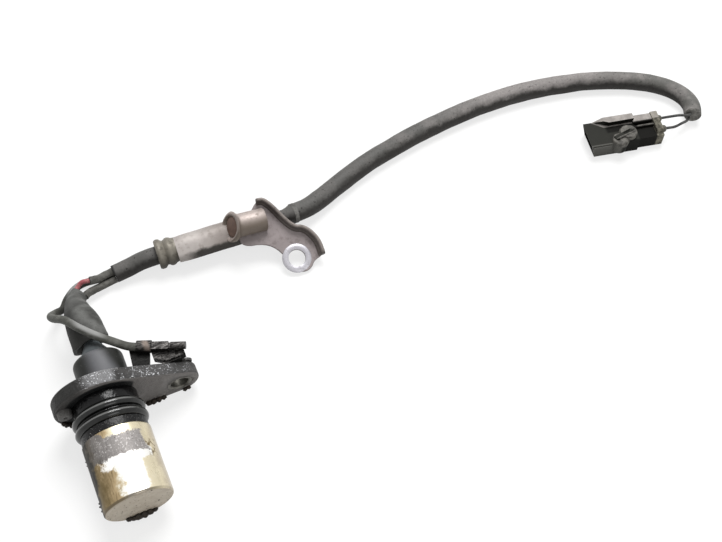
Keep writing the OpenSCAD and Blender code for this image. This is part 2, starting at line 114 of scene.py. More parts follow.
WIRE_A_PTS = metres([
    (261.5, 40.6, 5.9), (261.1, 39.9, 6), (259.6, 39.7, 6.2), (256.4, 41.2, 6.1), (252.5, 42.75, 5.4),
    (248.6, 43.6, 5.4),
])
WIRE_B_PTS = metres([
    (261.2, 40.55, 4), (260.8, 39.85, 4.1), (259, 38.6, 4.2), (255.6, 37.8, 4.8), (251.3, 37.05, 5.4),
    (247.4, 37.9, 5.4),
])
BOOT_PTS = metres([
    (-5, 60.1, 3.8), (-6.2, 58.9, 4.1), (-7, 56.5, 5.4), (-7.4, 52.3, 8.4), (-7.3, 47.5, 11.3),
    (-7, 42.9, 13.8), (-6.5, 38.3, 15.5), (-6.3, 34, 16.1), (-6.2, 30, 15),
])
BOOT_RAD = [3.5, 3.6, 3.7, 4.3, 5.1, 6.0, 6.6, 6.8, 6.9]


# Camera, at the photograph's viewing angle
ELEVATION, AZIMUTH = math.radians(57.382), math.radians(-24.047)
AIM = Vector((0.09968, 0.0279, 0))
DISTANCE = 0.39757


def in_scene(name, data):
    """An object in the scene with its data."""
    obj = bpy.data.objects.new(name, data)
    scene.collection.objects.link(obj)
    return obj


def look_along(obj, direction):
    """Turns a camera or a lamp to a direction."""
    obj.rotation_mode = "QUATERNION"
    obj.rotation_quaternion = direction.to_track_quat("-Z", "Y")


def make_camera():
    data = bpy.data.cameras.new("camera")
    data.lens, data.sensor_width = 50, 36
    data.clip_start, data.clip_end = 0.01, 20
    cam = in_scene("camera", data)
    flat = math.cos(ELEVATION)
    back = Vector((math.sin(AZIMUTH) * flat, -math.cos(AZIMUTH) * flat, math.sin(ELEVATION)))
    cam.location = AIM + back * DISTANCE
    look_along(cam, -back)
    scene.camera = cam


# Shape helpers


def in_row(verts, place):
    """Points in the row frame, in metres, from millimetres in the frame place."""
    return verts if place is None else [place @ (Vector(v) * MM) for v in verts]


def piece(name, verts, faces, place=None, replaces=(), slot=None, sharp=40):
    """A mesh object that rides on the part; verts are in metres, or millimetres in the frame place."""
    mesh = bpy.data.meshes.new(name)
    mesh.from_pydata(in_row(verts, place), [], faces)
    mesh.validate()
    mesh.shade_smooth()
    mesh.set_sharp_from_angle(angle=math.radians(sharp))
    obj = in_scene(name, mesh)
    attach(obj, "root")
    if replaces:
        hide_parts(*replaces)
    return obj


def join(*shapes):
    """One list of vertices and faces from several."""
    verts, faces = [], []
    for v, f in shapes:
        base = len(verts)
        verts += v
        faces += [tuple(i + base for i in face) for face in f]
    return verts, faces


def moved(shape, offset):
    verts, faces = shape
    return [Vector(v) + Vector(offset) for v in verts], faces


def turned(shape, matrix):
    verts, faces = shape
    return [matrix @ Vector(v) for v in verts], faces


def rings_to_faces(count, sides, cap=True):
    """Faces between count rings of vertices, with both ends closed if cap is set."""
    faces = []
    for low in range(0, (count - 1) * sides, sides):
        high = low + sides
        faces += [(low + i, low + (i + 1) % sides, high + (i + 1) % sides, high + i) for i in range(sides)]
    if cap:
        faces.append(tuple(reversed(range(sides))))
        faces.append(tuple(range((count - 1) * sides, count * sides)))
    return faces


def filleted(corners, steps=5):
    """A profile of (radius, height, fillet) corners with each corner rounded."""
    out = []
    for i, (r, z, f) in enumerate(corners):
        p = Vector((r, z))
        if f == 0 or i in (0, len(corners) - 1):
            out.append(p)
            continue
        a = Vector(corners[i - 1][:2]) - p
        b = Vector(corners[i + 1][:2]) - p
        start, end = p + a.normalized() * f, p + b.normalized() * f
        for k in range(steps + 1):
            t = k / steps
            out.append((1 - t) ** 2 * start + 2 * t * (1 - t) * p + t**2 * end)
    return out


def lathe(profile, sides=128, wobble=None, cap=True):
    """A turned shape: profile of (radius, height) along z. wobble(angle, height) adds to the radius."""
    verts = []
    for r, z in profile:
        for i in range(sides):
            a = TURN * i / sides
            d = wobble(a, z) if wobble and r > 0.5 else 0
            verts.append(((r + d) * math.cos(a), (r + d) * math.sin(a), z))
    return verts, rings_to_faces(len(profile), sides, cap)


def quarter(steps):
    """Cosine and sine from 0 to 90 degrees."""
    return [(math.cos(TURN / 4 * k / steps), math.sin(TURN / 4 * k / steps)) for k in range(steps + 1)]


def chaikin(points, closed, rounds=2, share=0.25):
    """Corners of an outline cut round."""
    pts = [Vector(p) for p in points]
    for _ in range(rounds):
        new = [] if closed else [pts[0]]
        for a, b in zip(pts, pts[1:] + (pts[:1] if closed else []), strict=False):
            new += [a.lerp(b, share), a.lerp(b, 1 - share)]
        if not closed:
            new.append(pts[-1])
        pts = new
    return pts


def sheet_rows(thick, edge=0.25):
    """Inset and height of the four rows that make a sheet with bevelled edges."""
    return ((edge, 0), (0, edge), (0, thick - edge), (edge, thick))


def sheet_faces(count):
    return [tuple(reversed(f)) for f in rings_to_faces(4, count)]


def round_noise(angle, size, height):
    """Noise that closes round a turned shape."""
    return noise.noise(Vector((math.cos(angle) * size, math.sin(angle) * size, height)))


def along_noise(share, angle, size=1):
    """Noise that closes round a tube, at a share of its length."""
    return noise.noise(Vector((share, math.cos(angle) * size, math.sin(angle) * size)))


def smooth_route(points, step):
    """Points about step apart on a smooth curve through the route's points, in metres."""
    pts = [Vector(p) for p in points]
    pts = [2 * pts[0] - pts[1], *pts, 2 * pts[-1] - pts[-2]]
    out = []
    for a, b, c, d in zip(pts, pts[1:], pts[2:], pts[3:], strict=False):
        reach = (c - b).length
        count = max(2, round(reach / step))
        m1 = (c - a).normalized() * reach
        m2 = (d - b).normalized() * reach
        for k in range(count):
            t = k / count
            ends = (2 * t**3 - 3 * t**2 + 1) * b + (-2 * t**3 + 3 * t**2) * c
            out.append(ends + (t**3 - 2 * t**2 + t) * m1 + (t**3 - t**2) * m2)
    out.append(pts[-2])
    return out


def route_length(route):
    return sum((b - a).length for a, b in zip(route, route[1:], strict=False))


def tube(route, radius, sides=24, hollow=(0, 0), wall=0.0008):
    """A tube along a route in metres; radius(share, angle) in metres.

    hollow is how many rings each open end is deep.
    """
    last = len(route) - 1
    tangents = [(route[min(i + 1, last)] - route[max(i - 1, 0)]).normalized() for i in range(last + 1)]
    side = Vector(UP).cross(tangents[0]).normalized()
    angles = [TURN * j / sides for j in range(sides)]
    outer, inner = [], []
    for i, (p, t) in enumerate(zip(route, tangents, strict=True)):
        side = (side - t * side.dot(t)).normalized()
        up = t.cross(side)
        for rows, less in ((outer, 0), (inner, wall)):
            ring = [
                p + (side * math.cos(a) + up * math.sin(a)) * (radius(i / last, a) - less) for a in angles
            ]
            rows.append(ring)
    rows = list(reversed(inner[: hollow[0]])) + outer
    if hollow[1]:
        rows += list(reversed(inner[-hollow[1] :]))
    return [v for row in rows for v in row], rings_to_faces(len(rows), sides)


def ramp(table, x):
    """Straight-line value from a table of (x, value)."""
    for (x0, y0), (x1, y1) in zip(table, table[1:], strict=False):
        if x <= x1:
            return y0 + (y1 - y0) * (x - x0) / (x1 - x0)
    return table[-1][1]


# Cords

# Radius of the sheath at shares of its length; the narrow stretch is squeezed behind the bracket.
SHEATH_OUT = [
    (0.0, 3.55), (0.05, 3.6), (0.2, 3.75), (0.226, 3.6), (0.236, 2.9), (0.252, 2.9), (0.258, 3.95),
    (0.4, 4.05), (0.7, 4.1), (0.9, 3.85), (1.0, 3.65),
]


def sheath_radius(share, angle):
    lumps = round_noise(angle, 1, share * 40) * 0.16
    folds = along_noise(share * 110, angle) * 0.07
    return (ramp(SHEATH_OUT, share) + lumps + folds) * MM


def plain_radius(r, lumps):
    def at(share, angle):
        return (r + lumps * along_noise(share * 9, angle)) * MM

    return at


# Route, radius, step, node, slot and sides of each cord, then the depth of its open ends and its wall.
CORDS = {
    "sheath": (SHEATH_PTS, sheath_radius, 0.0016, "sheath", "sheath_rubber", 40, (5, 0), 0.0009),
    "drain": (DRAIN_PTS, plain_radius(DRAIN_R, 0.08), 0.001, "drain_lead", "drain_cover", 24),
    "red": (RED_PTS, plain_radius(LEAD_R, 0.03), 0.0006, "red_lead", "red_cover", 20),
    "sleeve_a": (
        SLEEVE_A_PTS, plain_radius(SLEEVE_R, 0.12), 0.0006, "sleeve_a", "sleeve_cloth", 24, (3, 0), 0.0004,
    ),
    "sleeve_b": (SLEEVE_B_PTS, plain_radius(SLEEVE_R, 0.12), 0.0006, "sleeve_b", "sleeve_cloth", 24),
    "wire_a": (WIRE_A_PTS, plain_radius(WIRE_R, 0.02), 0.0006, "wire_a", "wire_cover", 16),
    "wire_b": (WIRE_B_PTS, plain_radius(WIRE_R, 0.02), 0.0006, "wire_b", "wire_cover", 16),
}


def make_cords():
    """The cords' pieces and their smooth routes, by name."""
    tubes, routes = {}, {}
    for name, (points, radius, step, node, slot, *form) in CORDS.items():
        routes[name] = smooth_route(points, step)
        shape = tube(routes[name], radius, *form)
        tubes[name] = piece(name + "_tube", *shape, replaces=[node], slot=slot)
    return tubes, routes


def declare_cords(routes):
    """Measures the routes of the sheath and of the drain, the drain's from its other end; the lengths are not
    kept.
    """
    route_length(routes["sheath"])
    back = list(reversed(routes["drain"]))
    route_length(back)


# Boot

BOOT_SIDES = 56
# Rings of the mouth that lean to the left, and how far the last one leans.
LEAN_RINGS, LEAN = 9, 1.5


def make_boot():
    """Rubber bell, closed round the leads at its narrow end and open toward the neck."""
    route = smooth_route(BOOT_PTS, 0.0009)
    spots = [0]
    for a, b in zip(BOOT_PTS, BOOT_PTS[1:], strict=False):
        spots.append(spots[-1] + (Vector(b) - Vector(a)).length)
    table = [(s / spots[-1], r) for s, r in zip(spots, BOOT_RAD, strict=True)]

    def radius(share, angle):
        lip = 0.25 * math.exp(-(((share - 0.985) / 0.012) ** 2))
        return (ramp(table, share) - 0.1 + 0.14 * along_noise(share * 5, angle, 1.4) + lip) * MM

    deep = round(len(route) * 0.45)
    verts, faces = tube(route, radius, BOOT_SIDES, (0, deep), BOOT_WALL * MM)
    end = len(route) - 1
    axis = (route[-1] - route[-4]).normalized()
    left = Vector((-0.8, -0.5, -0.3))
    for i, v in enumerate(verts):
        ring = i // BOOT_SIDES
        ring = ring if ring <= end else 2 * end + 1 - ring
        lean = max(0, (ring - end + LEAN_RINGS) / LEAN_RINGS)
        offset = (v - route[ring]).dot(left) / (BOOT_RAD[-1] * MM)
        verts[i] = v + axis * lean * lean * offset * LEAN * MM
    return piece("boot_bell", verts, faces, replaces=["boot"], slot="boot_rubber")


# Sensor head


def can_wobble(a, z):
    p = Vector((math.cos(a) * 2, math.sin(a) * 2, z * 0.16))
    return 0.05 * noise.noise(p) + 0.02 * noise.noise(p * 3.1)


def make_can():
    """Drawn can with a turned-in lip, a rounded edge and a shallow dish in its end."""
    low, high = BARREL_LEN + 0.2, REACH - CAN_EDGE
    flat = CAN_R - CAN_EDGE
    profile = [(CAN_R - 0.7, BARREL_LEN), (CAN_R - 0.15, BARREL_LEN), (CAN_R, low)]
    profile += [(CAN_R, low + (high - low) * k / 60) for k in range(1, 61)]
    profile += [(flat + CAN_EDGE * cos, high + CAN_EDGE * sin) for cos, sin in quarter(8)[1:]]
    dish = (0.2, 0.4, 0.8, 1.4, 2.2, 3.2, 4.4, 5.8, 7.4, 9.2, 10.6)
    profile += [(flat - r, REACH - min(0.12, 0.3 * r)) for r in dish]
    return piece("can_shell", *lathe(profile, 192, can_wobble), SENSOR, ["can"], "can_metal", 60)


def make_rings():
    made = []
    middle, steps = BARREL_R + RING_PROUD - RING_SEC, 36
    for node, z in (("o_ring_upper", RING_FIRST), ("o_ring_lower", RING_FIRST + RING_PITCH)):
        angles = [TURN * k / steps for k in range(steps + 1)]
        profile = [(middle + RING_SEC * math.cos(a), z + RING_SEC * math.sin(a)) for a in angles]
        shape = lathe(profile, 160, lambda a, h: 0.03 * round_noise(a, 3, h), False)
        made.append(piece(node + "_seal", *shape, SENSOR, [node], "ring_rubber", 80))
    return made


def between(a, b, count):
    """Points inside the line from a to b, which they part into count equal stretches."""
    shares = [k / count for k in range(1, count)]
    return [(a[0] + (b[0] - a[0]) * t, a[1] + (b[1] - a[1]) * t) for t in shares]


def arc(x, radius, start, end, count):
    angles = [start + (end - start) * k / count for k in range(count + 1)]
    return [(x + radius * math.cos(a), radius * math.sin(a)) for a in angles]


def flange_outline(inset):
    """The flange's outline, two round ends joined by their tangents, drawn in by inset."""
    turn = math.acos((FLANGE_R - EAR_R) / (EAR_OFF + FLANGE_BACK))
    big = arc(-FLANGE_BACK, FLANGE_R - inset, turn, TURN - turn, 96)
    ear = arc(EAR_OFF, EAR_R - inset, -turn, turn, 48)
    return [*big, *between(big[-1], ear[0], 24), *ear, *between(ear[-1], big[0], 24)]


def flange_shape():
    soft = 0.7
    steps = [(soft * (1 - sin), -FLANGE_T + soft * (1 - cos)) for cos, sin in quarter(5)]
    steps += [(0, -FLANGE_T + soft + (FLANGE_T - 2 * soft) * k / 6) for k in range(1, 6)]
    steps += [(soft * (1 - cos), -soft + soft * sin) for cos, sin in quarter(5)]
    verts = [(x, y, z) for inset, z in steps for x, y in flange_outline(inset)]
    return verts, rings_to_faces(len(steps), len(flange_outline(0)))


def with_hole(obj, place, radius, x, y, low, high):
    """Cuts a round hole along z of the frame place."""
    cutter_mesh = bpy.data.meshes.new("cutter")
    verts, faces = moved(lathe([(radius, low), (radius, high)], 64), (x, y, 0))
    cutter_mesh.from_pydata(in_row(verts, place), [], faces)
    cutter = in_scene("cutter", cutter_mesh)
    cut = obj.modifiers.new("hole", "BOOLEAN")
    cut.object, cut.solver = cutter, "EXACT"
    done = bpy.data.meshes.new_from_object(obj.evaluated_get(bpy.context.evaluated_depsgraph_get()))
    obj.modifiers.clear()
    obj.data = done
    bpy.data.objects.remove(cutter)
    return obj


def barrel_shape():
    """Barrel with a groove for each seal ring."""
    groove = BARREL_R + RING_PROUD - 2 * RING_SEC
    corners = [(BARREL_R - 1, -0.5, 0), (BARREL_R, -0.5, 0)]
    for z in (RING_FIRST, RING_FIRST + RING_PITCH):
        low, high = z - RING_SEC, z + RING_SEC
        corners += [(BARREL_R, low, 0.25), (groove, low, 0.3), (groove, high, 0.3), (BARREL_R, high, 0.25)]
    corners += [(BARREL_R, BARREL_LEN + 0.3, 0.2), (BARREL_R - 1.2, BARREL_LEN + 0.3, 0)]
    return lathe(filleted(corners), 160, None, False)


def rear_shape():
    """Neck, its root and the round shoulder behind the flange."""
    shoulder_end = -FLANGE_T - SHOULDER_LEN
    neck_end = shoulder_end - NECK_LEN
    corners = [
        (0.2, neck_end, 0),
        (NECK_R, neck_end, 0.4),
        (NECK_R, shoulder_end - ROOT_LEN, 0.8),
        (NECK_R + ROOT_OUT * 0.8, shoulder_end - 1.2, 0.9),
        (NECK_R + ROOT_OUT, shoulder_end, 0.5),
        (SHOULDER_R, shoulder_end, 2.4),
        (SHOULDER_R, -FLANGE_T - 0.8, 0.4),
        (SHOULDER_R + 0.5, -FLANGE_T + 0.3, 0),
    ]
    return moved(lathe(filleted(corners, 8), 112), (REAR_X, REAR_Y, 0))


def make_housing():
    flange = piece("flange_body", *flange_shape(), SENSOR, ["sensor_housing"], "housing_plastic", 35)
    with_hole(flange, SENSOR, BOLT_R + BUSH_WALL, EAR_OFF, 0, -FLANGE_T - 1, 1)
    bump = [(0.1, 1.5, 0), (0.5, 1.5, 0.1), (0.7, 2.3, 0.15), (2.5, 2.3, 0.5), (2.6, -0.4, 0)]
    pip = moved(lathe(filleted(bump), 40), (-14.1, 0.3, 0))
    made = {"flange": flange}
    for key, name, shape in (
        ("pip", "locating_pip", pip),
        ("barrel", "barrel_body", barrel_shape()),
        ("rear", "shoulder_body", rear_shape()),
    ):
        made[key] = piece(name, *shape, SENSOR, (), "housing_plastic", 50)
    return made


def lump(x, y, z, r, flat=0.6, sides=10):
    """A small uneven dark clot."""
    rows = sides // 2 + 1
    verts = []
    for k in range(rows):
        t = math.pi * (k + 0.15) / (rows - 0.7)
        for i in range(sides):
            a = TURN * i / sides
            d = Vector((math.sin(t) * math.cos(a), math.sin(t) * math.sin(a), math.cos(t)))
            q = r * (1 + 0.45 * noise.noise(d * 1.6 + Vector((x, y, z))))
            verts.append((x + d.x * q, y + d.y * q, z + d.z * q * flat))
    return verts, rings_to_faces(rows, sides)


# Dark clots as x, y and radius: under the tip and on the flange. Grains sit in a row on the can's left.
TIP_CLOTS = [
    (-2.4, -9.8, 1.1), (-0.6, -10.1, 1.4), (1.2, -9.9, 1.6), (3, -9.4, 1.6), (4.8, -8.8, 1.4), (6.4, -8, 1.0),
    (0.4, -8.6, 0.9), (2.4, -8.1, 1.0), (4.4, -7.6, 0.8),
]
FLANGE_CLOTS = [
    (17.4, -9.2, 1.2), (19.2, -8.7, 1.3), (21, -8.2, 1.3), (22.8, -7.8, 1.0), (30.6, -5.4, 0.9),
    (31.8, -4.6, 0.8), (-10.8, -10.8, 1.1), (-12.4, -9.6, 1.1), (-9.2, -11.8, 1.0), (-13.6, -8.2, 0.9),
]
GRAINS, GRAIN_SIDE = 16, -101


def make_clots():
    clots = [lump(x, y, REACH + 0.3, r, 0.7) for x, y, r in TIP_CLOTS]
    clots += [lump(x, y, 0.5, r, 0.9) for x, y, r in FLANGE_CLOTS]
    for k in range(GRAINS):
        z = BARREL_LEN + 2 + (REACH - BARREL_LEN - 4) * k / (GRAINS - 1)
        wander = noise.noise(Vector((k * 1.7, 3.1, 0.4)))
        side = math.radians(GRAIN_SIDE + 14 * wander) - EAR_DIP
        clots.append(lump(CAN_R * math.sin(side), CAN_R * math.cos(side), z, 0.45 + 0.3 * wander))
    return piece("dark_clot_piece", *join(*clots), SENSOR, (), None, 80)


def make_bush():
    outer, low, high = BOLT_R + BUSH_WALL, -FLANGE_T, 0.05
    profile = [
        (BOLT_R, low + 0.3), (BOLT_R + 0.3, low), (outer, low), (outer, high), (BOLT_R + 0.35, high),
        (BOLT_R, -0.3), (BOLT_R, low + 0.3),
    ]
    shape = moved(lathe(profile, 72, None, False), (EAR_OFF, 0, 0))
    return piece("bush_ring", *shape, SENSOR, ["bolt_bush"], "bush_steel", 30)


def make_clip_plate():
    """The terminal's plate behind the ear; its square corner shows past the ear's top and end."""
    top, end, back, low, thick = 7.3, 5.7, -6.4, -5.0, 1.1
    corners = [(back, low), (end - 2.6, low), (end, low + 3), (end, top), (back, top)]
    line = chaikin(corners, True, 3, 0.16)
    verts = []
    for inset, depth in sheet_rows(thick):
        shrink = 1 - inset / top
        verts += [(EAR_OFF + p.x * shrink, p.y * shrink, -depth - FLANGE_T) for p in line]
    plate = piece("clip_ring_plate", verts, sheet_faces(len(line)), SENSOR, (), "clip_metal", 35)
    return with_hole(plate, SENSOR, BOLT_R + 0.3, EAR_OFF, 0, -FLANGE_T - 2, 1 - FLANGE_T)


# Bracket

PLATE_LINE = [
    (43, 6), (46.8, 5.6), (53.3, -8.2), (58, -9.4), (61.8, -15.8), (62, -22.4), (57.6, -23.6), (55.6, -26.2),
    (52.4, -27), (49, -25.4), (46, -16), (41, -11.4), (32.4, -10.2), (31.6, -5), (36, -2), (39, 2),
]
LIP_LINE = [(42.6, 5.6), (46.4, 5), (52.8, -8.7), (57.6, -10), (61.2, -16), (61.3, -22.6)]
# The lip's section, and the heights where it starts and ends.
LIP_CUT = [
    (-1.1, 0.9), (-0.3, 0.95), (0.35, 1.3), (0.6, 2.0), (0.65, 3.2), (0.45, 3.6), (0.0, 3.65), (-0.35, 3.4),
    (-0.5, 2.4), (-0.8, 1.7), (-1.2, 1.35),
]
LIP_LOW, LIP_HIGH = 0.9, 3.65
STRAP_CUT = [
    (4.7, -0.4), (4.65, 1), (4.3, 2.5), (3.5, 3.8), (2.2, 4.7), (0.5, 5.15), (-1.2, 5.1), (-2.8, 4.6),
    (-4.4, 3.8), (-5.8, 2.9), (-6.7, 1.8), (-7, 0.6), (-6.9, -0.2), (-6.2, -0.2), (-6, 0.9), (-5.2, 1.9),
    (-4, 2.7), (-2.7, 3.2), (-1.2, 3.95), (0.4, 4.1), (1.9, 3.7), (3, 2.9), (3.8, 1.6), (4, -0.4),
]
STRAP_FROM, STRAP_TO = COLLAR_LEN - 1.4, 33
# Sections of the turned parts: distance past the radius named first, and height.
COLLAR_BEADS = [
    (0.5, -0.2), (0.95, 0.4), (1.05, 1.2), (0.9, 2.0), (0.25, 2.6), (-0.1, 3.1), (0.15, 3.7), (0.6, 4.3),
    (0.75, 5.1), (0.55, 6.0), (0.1, 6.6), (-0.1, 7.4), (-0.1, COLLAR_LEN),
]
CUP_RIM = [(0, 1.0), (0.1, 0.5), (0.5, 0.1), (1.1, 0.0)]
FLARE_RIM = [(-0.25, 0.35), (0, 1.0), (-0.1, 1.7), (-0.6, 2.4)]
KNUCKLE_WALL = [
    (0.25, 3.2), (0, 4.2), (0, 9), (0, KNUCKLE_LEN - 0.6), (-0.4, KNUCKLE_LEN), (-1.2, KNUCKLE_LEN),
    (-1.2, 6), (-1.2, 1.2),
]
SEAT_RING = [(0, -0.5), (0, 0.1), (0.3, 0.25), (2, 0.22), (2.5, -0.1)]


def past(radius, section, height=0):
    """A section measured from a radius and a height."""
    return [(radius + r, height + z) for r, z in section]


def plate_shape():
    line = chaikin(PLATE_LINE, True)
    count = len(line)
    middle = sum(line, Vector((0, 0))) / count
    verts = []
    for inset, z in sheet_rows(SHEET):
        for i, p in enumerate(line):
            t = (line[(i + 1) % count] - line[i - 1]).normalized()
            inward = Vector((-t.y, t.x))
            inward = inward if (middle - p).dot(inward) > 0 else -inward
            verts.append((p + inward * inset).to_3d() + Vector((0, 0, z)))
    return verts, sheet_faces(count)


def lip_shape():
    """The plate's turned-up edge, lower at both ends."""
    line = chaikin(LIP_LINE, False, 3)
    verts, n = [], len(line)
    for i, p in enumerate(line):
        t = (line[min(i + 1, n - 1)] - line[max(i - 1, 0)]).normalized()
        out = Vector((-t.y, t.x))
        grow = 1 + 0.25 * (i / n) ** 2
        low = min(1, 0.55 + 6 * min(i, n - 1 - i) / n)
        tall = grow * low * (LIP_H - LIP_LOW) / (LIP_HIGH - LIP_LOW)
        for o, z in LIP_CUT:
            spot = (p + out * o * (1 + 0.3 * grow)).to_3d()
            verts.append(spot + Vector((0, 0, LIP_LOW + (z - LIP_LOW) * tall)))
    return verts, rings_to_faces(n, len(LIP_CUT))


def strap_shape():
    """Sheet folded over the sheath; it runs out under the knuckle's flare."""
    cut = chaikin(STRAP_CUT, True, 1)
    verts, steps = [], 24
    for k in range(steps + 1):
        t = k / steps
        x = STRAP_FROM + (STRAP_TO - STRAP_FROM) * t
        tight = 1 - 0.05 * max(0, 1 - t * 6)
        for y, z in cut:
            swell = 1 + 0.03 * noise.noise(Vector((x * 0.15, y * 0.3, z * 0.3)))
            verts.append((x, y * swell * tight, z * swell * tight))
    return verts, rings_to_faces(steps + 1, len(cut))


def dent(a, z):
    return 0.12 * round_noise(a, 1.5, z * 0.6)


def oblique(shape):
    """The knuckle's mouth cut aslant: it looks up and a little to the front."""
    verts, faces = shape
    out = []
    for x, y, z in verts:
        share = max(0, 1 - z / 6) ** 2
        out.append((x, y, z - (0.445 * x + 0.105 * y) * share))
    return out, faces


def collar_shape():
    inner = SHEATH_R + 0.02
    start = (inner, 0.3)
    profile = [start, (inner + 0.4, -0.1), *past(COLLAR_R, COLLAR_BEADS), (inner, COLLAR_LEN), start]
    return turned(lathe(profile, 96, dent, False), ALONG_X)


def make_bracket():
    """The folded sheet in parts, the worn ring round its hole, and the knuckle's core."""
    knuckle = [*past(CUP_R, CUP_RIM), *past(FLARE_R, FLARE_RIM), *past(KNUCKLE_R, KNUCKLE_WALL), (CUP_R, 1.0)]
    bore, core_end = KNUCKLE_R - 1.25, KNUCKLE_LEN - 0.2
    core = [
        (0.1, 0.25), (1.6, 0.3), (3, 0.45), (CUP_R - 0.3, 0.7), (CUP_R, 1.1), (bore, 1.3), (bore, core_end),
        (0.1, core_end),
    ]
    tilt = Matrix.Rotation(math.radians(6), 4, "Y")
    lean = Matrix.Translation((KNUCKLE_X, KNUCKLE_Y, KNUCKLE_Z)) @ tilt @ ALONG_X
    roll = turned(oblique(lathe(knuckle, 96, dent, False)), lean)
    plug = turned(oblique(lathe(core, 72, dent)), lean)
    ring = moved(lathe(past(PLATE_HOLE_R, SEAT_RING, SHEET), 72, None, False), (*PLATE_HOLE, 0))
    made = {}
    for key, name, shape, place, replaces, slot, sharp in (
        ("strap", "bracket_strap", strap_shape(), BRACKET, ["bracket"], "bracket_zinc", 55),
        ("collar", "bracket_collar", collar_shape(), BRACKET, (), "bracket_zinc", 55),
        ("knuckle", "bracket_knuckle", roll, BRACKET, (), "bracket_zinc", 55),
        ("plate", "bracket_plate", plate_shape(), ON_PLATE, (), "bracket_zinc", 40),
        ("lip", "bracket_lip", lip_shape(), ON_PLATE, (), "bracket_zinc", 60),
        ("seat", "bolt_seat_ring", ring, ON_PLATE, (), "bracket_zinc", 50),
        ("core", "knuckle_core", plug, BRACKET, ["clamp_bush"], "bush_rubber", 50),
    ):
        made[key] = piece(name, *shape, place, replaces, slot, sharp)
    with_hole(made["plate"], ON_PLATE, PLATE_HOLE_R, *PLATE_HOLE, -2, 4)
    return made


# Small pieces on the sheath and the connector

# The stretch of the sheath under the cuff, along x in metres.
CUFF_FROM, CUFF_TO = 0.0835, 0.0865


def make_trim(route):
    """The cuff behind the bracket and the pale face of the sheath's cut end."""
    near = [p for p in route if CUFF_FROM < p.x < CUFF_TO]
    cuff = tube(near, lambda s, a: (4.1 + 0.25 * math.sin(math.pi * s)) * MM, 40)
    end, t = route[-1], (route[-1] - route[-3]).normalized()
    stub = [end + t * d for d in (-0.0004, 0, 0.0002, 0.0004)]
    rim = tube(stub, lambda s, a: (3.55 - 0.5 * max(0, s - 0.6)) * MM, 40)
    return piece("sheath_cuff", *cuff, sharp=50), piece("sheath_cut_face", *rim, sharp=50)


def boss(radius, eye, top, stretch, shift):
    """A low rounded boss whose small eye sits off its middle by shift."""
    rows = [(eye, top - 0.7), (eye, top - 0.25), (eye + 0.25, top), (radius - 0.9, top)]
    rows += [(radius - 0.35, top - 0.15), (radius, top - 0.6), (radius, top - 2)]
    verts, faces = lathe(rows, 48, None, False)
    out = []
    for x, y, z in verts:
        near = 1 - min(1, max(0, (math.hypot(x, y) - eye) / (radius - eye)))
        out.append((x * (stretch if near < 0.7 else 1) + shift * near, y, z))
    return out, faces


def bar(x0, y0, x1, y1, z, r):
    """A round bar lying in the connector's frame, in millimetres."""
    count = 8
    start, end = Vector((x0, y0, z)) * MM, Vector((x1, y1, z)) * MM
    line = [start.lerp(end, k / count) for k in range(count + 1)]
    verts, faces = tube(line, lambda s, a: r * (1 - 0.35 * (2 * s - 1) ** 6) * MM, 14)
    return [v / MM for v in verts], faces


def make_latch():
    """Two bosses with a bar across them, and the rail behind."""
    shapes = [
        moved(boss(3.7, 0.7, HOOD_T + 1.9, 1.05, 1.5), (17, 3.9, 0)),
        moved(boss(3.5, 0.6, HOOD_T + 1.4, 1.02, -1.2), (12.8, 1, 0)),
        bar(10.8, 0.8, 20, 3.6, HOOD_T + 1.8, 0.45),
        bar(22, 6.9, 31, 6.9, HOOD_T + 0.4, 0.4),
    ]
    return piece("latch_rims", *join(*shapes), CONNECTOR, (), "connector_plastic", 60)


SEAL_CORNERS = [
    (0.2, -2.4, 0), (1.75, -2.4, 0), (1.75, 0.3, 0.1), (1.3, 0.6, 0.2), (1.6, 1.0, 0.2), (1.5, 1.6, 0.2),
    (1.1, 2.2, 0.3), (0.7, 2.2, 0),
]


def make_seals():
    made = []
    for name, y in (("seal_a", 10.7), ("seal_b", 4.9)):
        shape = turned(lathe(filleted(SEAL_CORNERS), 40), Matrix.Translation((32.7, y, 5.4)) @ ALONG_X)
        made.append(piece(name + "_plug", *shape, CONNECTOR, [name], "seal_rubber", 50))
    return made


# Materials


def add_node(tree, kind, inputs=None, **settings):
    """A node with its settings made and its inputs set to values or linked to other nodes' outputs."""
    made = tree.nodes.new(kind)
    for key, value in settings.items():
        setattr(made, key, value)
    for socket, value in (inputs or {}).items():
        if isinstance(value, bpy.types.NodeSocket):
            tree.links.new(value, made.inputs[socket])
        else:
            made.inputs[socket].default_value = value
    return made


class Value:
    """A value in a material's node tree. Arithmetic on it adds math nodes; a | b is the larger of the two."""

    def __init__(self, look, socket):
        self.look, self.socket = look, socket

    def __add__(self, other):
        return self.look.math("ADD", self, other)

    def __sub__(self, other):
        return self.look.math("SUBTRACT", self, other)

    def __mul__(self, other):
        return self.look.math("MULTIPLY", self, other)

    def __or__(self, other):
        return self.look.math("MAXIMUM", self, other)

    def step(self, low, high, start=0, end=1):
        """Goes smoothly from start, at low and below, to end, at high and above."""
        inputs = {"Value": self, "From Min": low, "From Max": high, "To Min": start, "To Max": end}
        return self.look.node("ShaderNodeMapRange", "Result", inputs, interpolation_type="SMOOTHSTEP")

    def fall(self, low, high):
        return self.step(low, high, 1, 0)

    def to(self, share, color):
        """This colour with a share of another."""
        return self.look.mix(share, self, color)


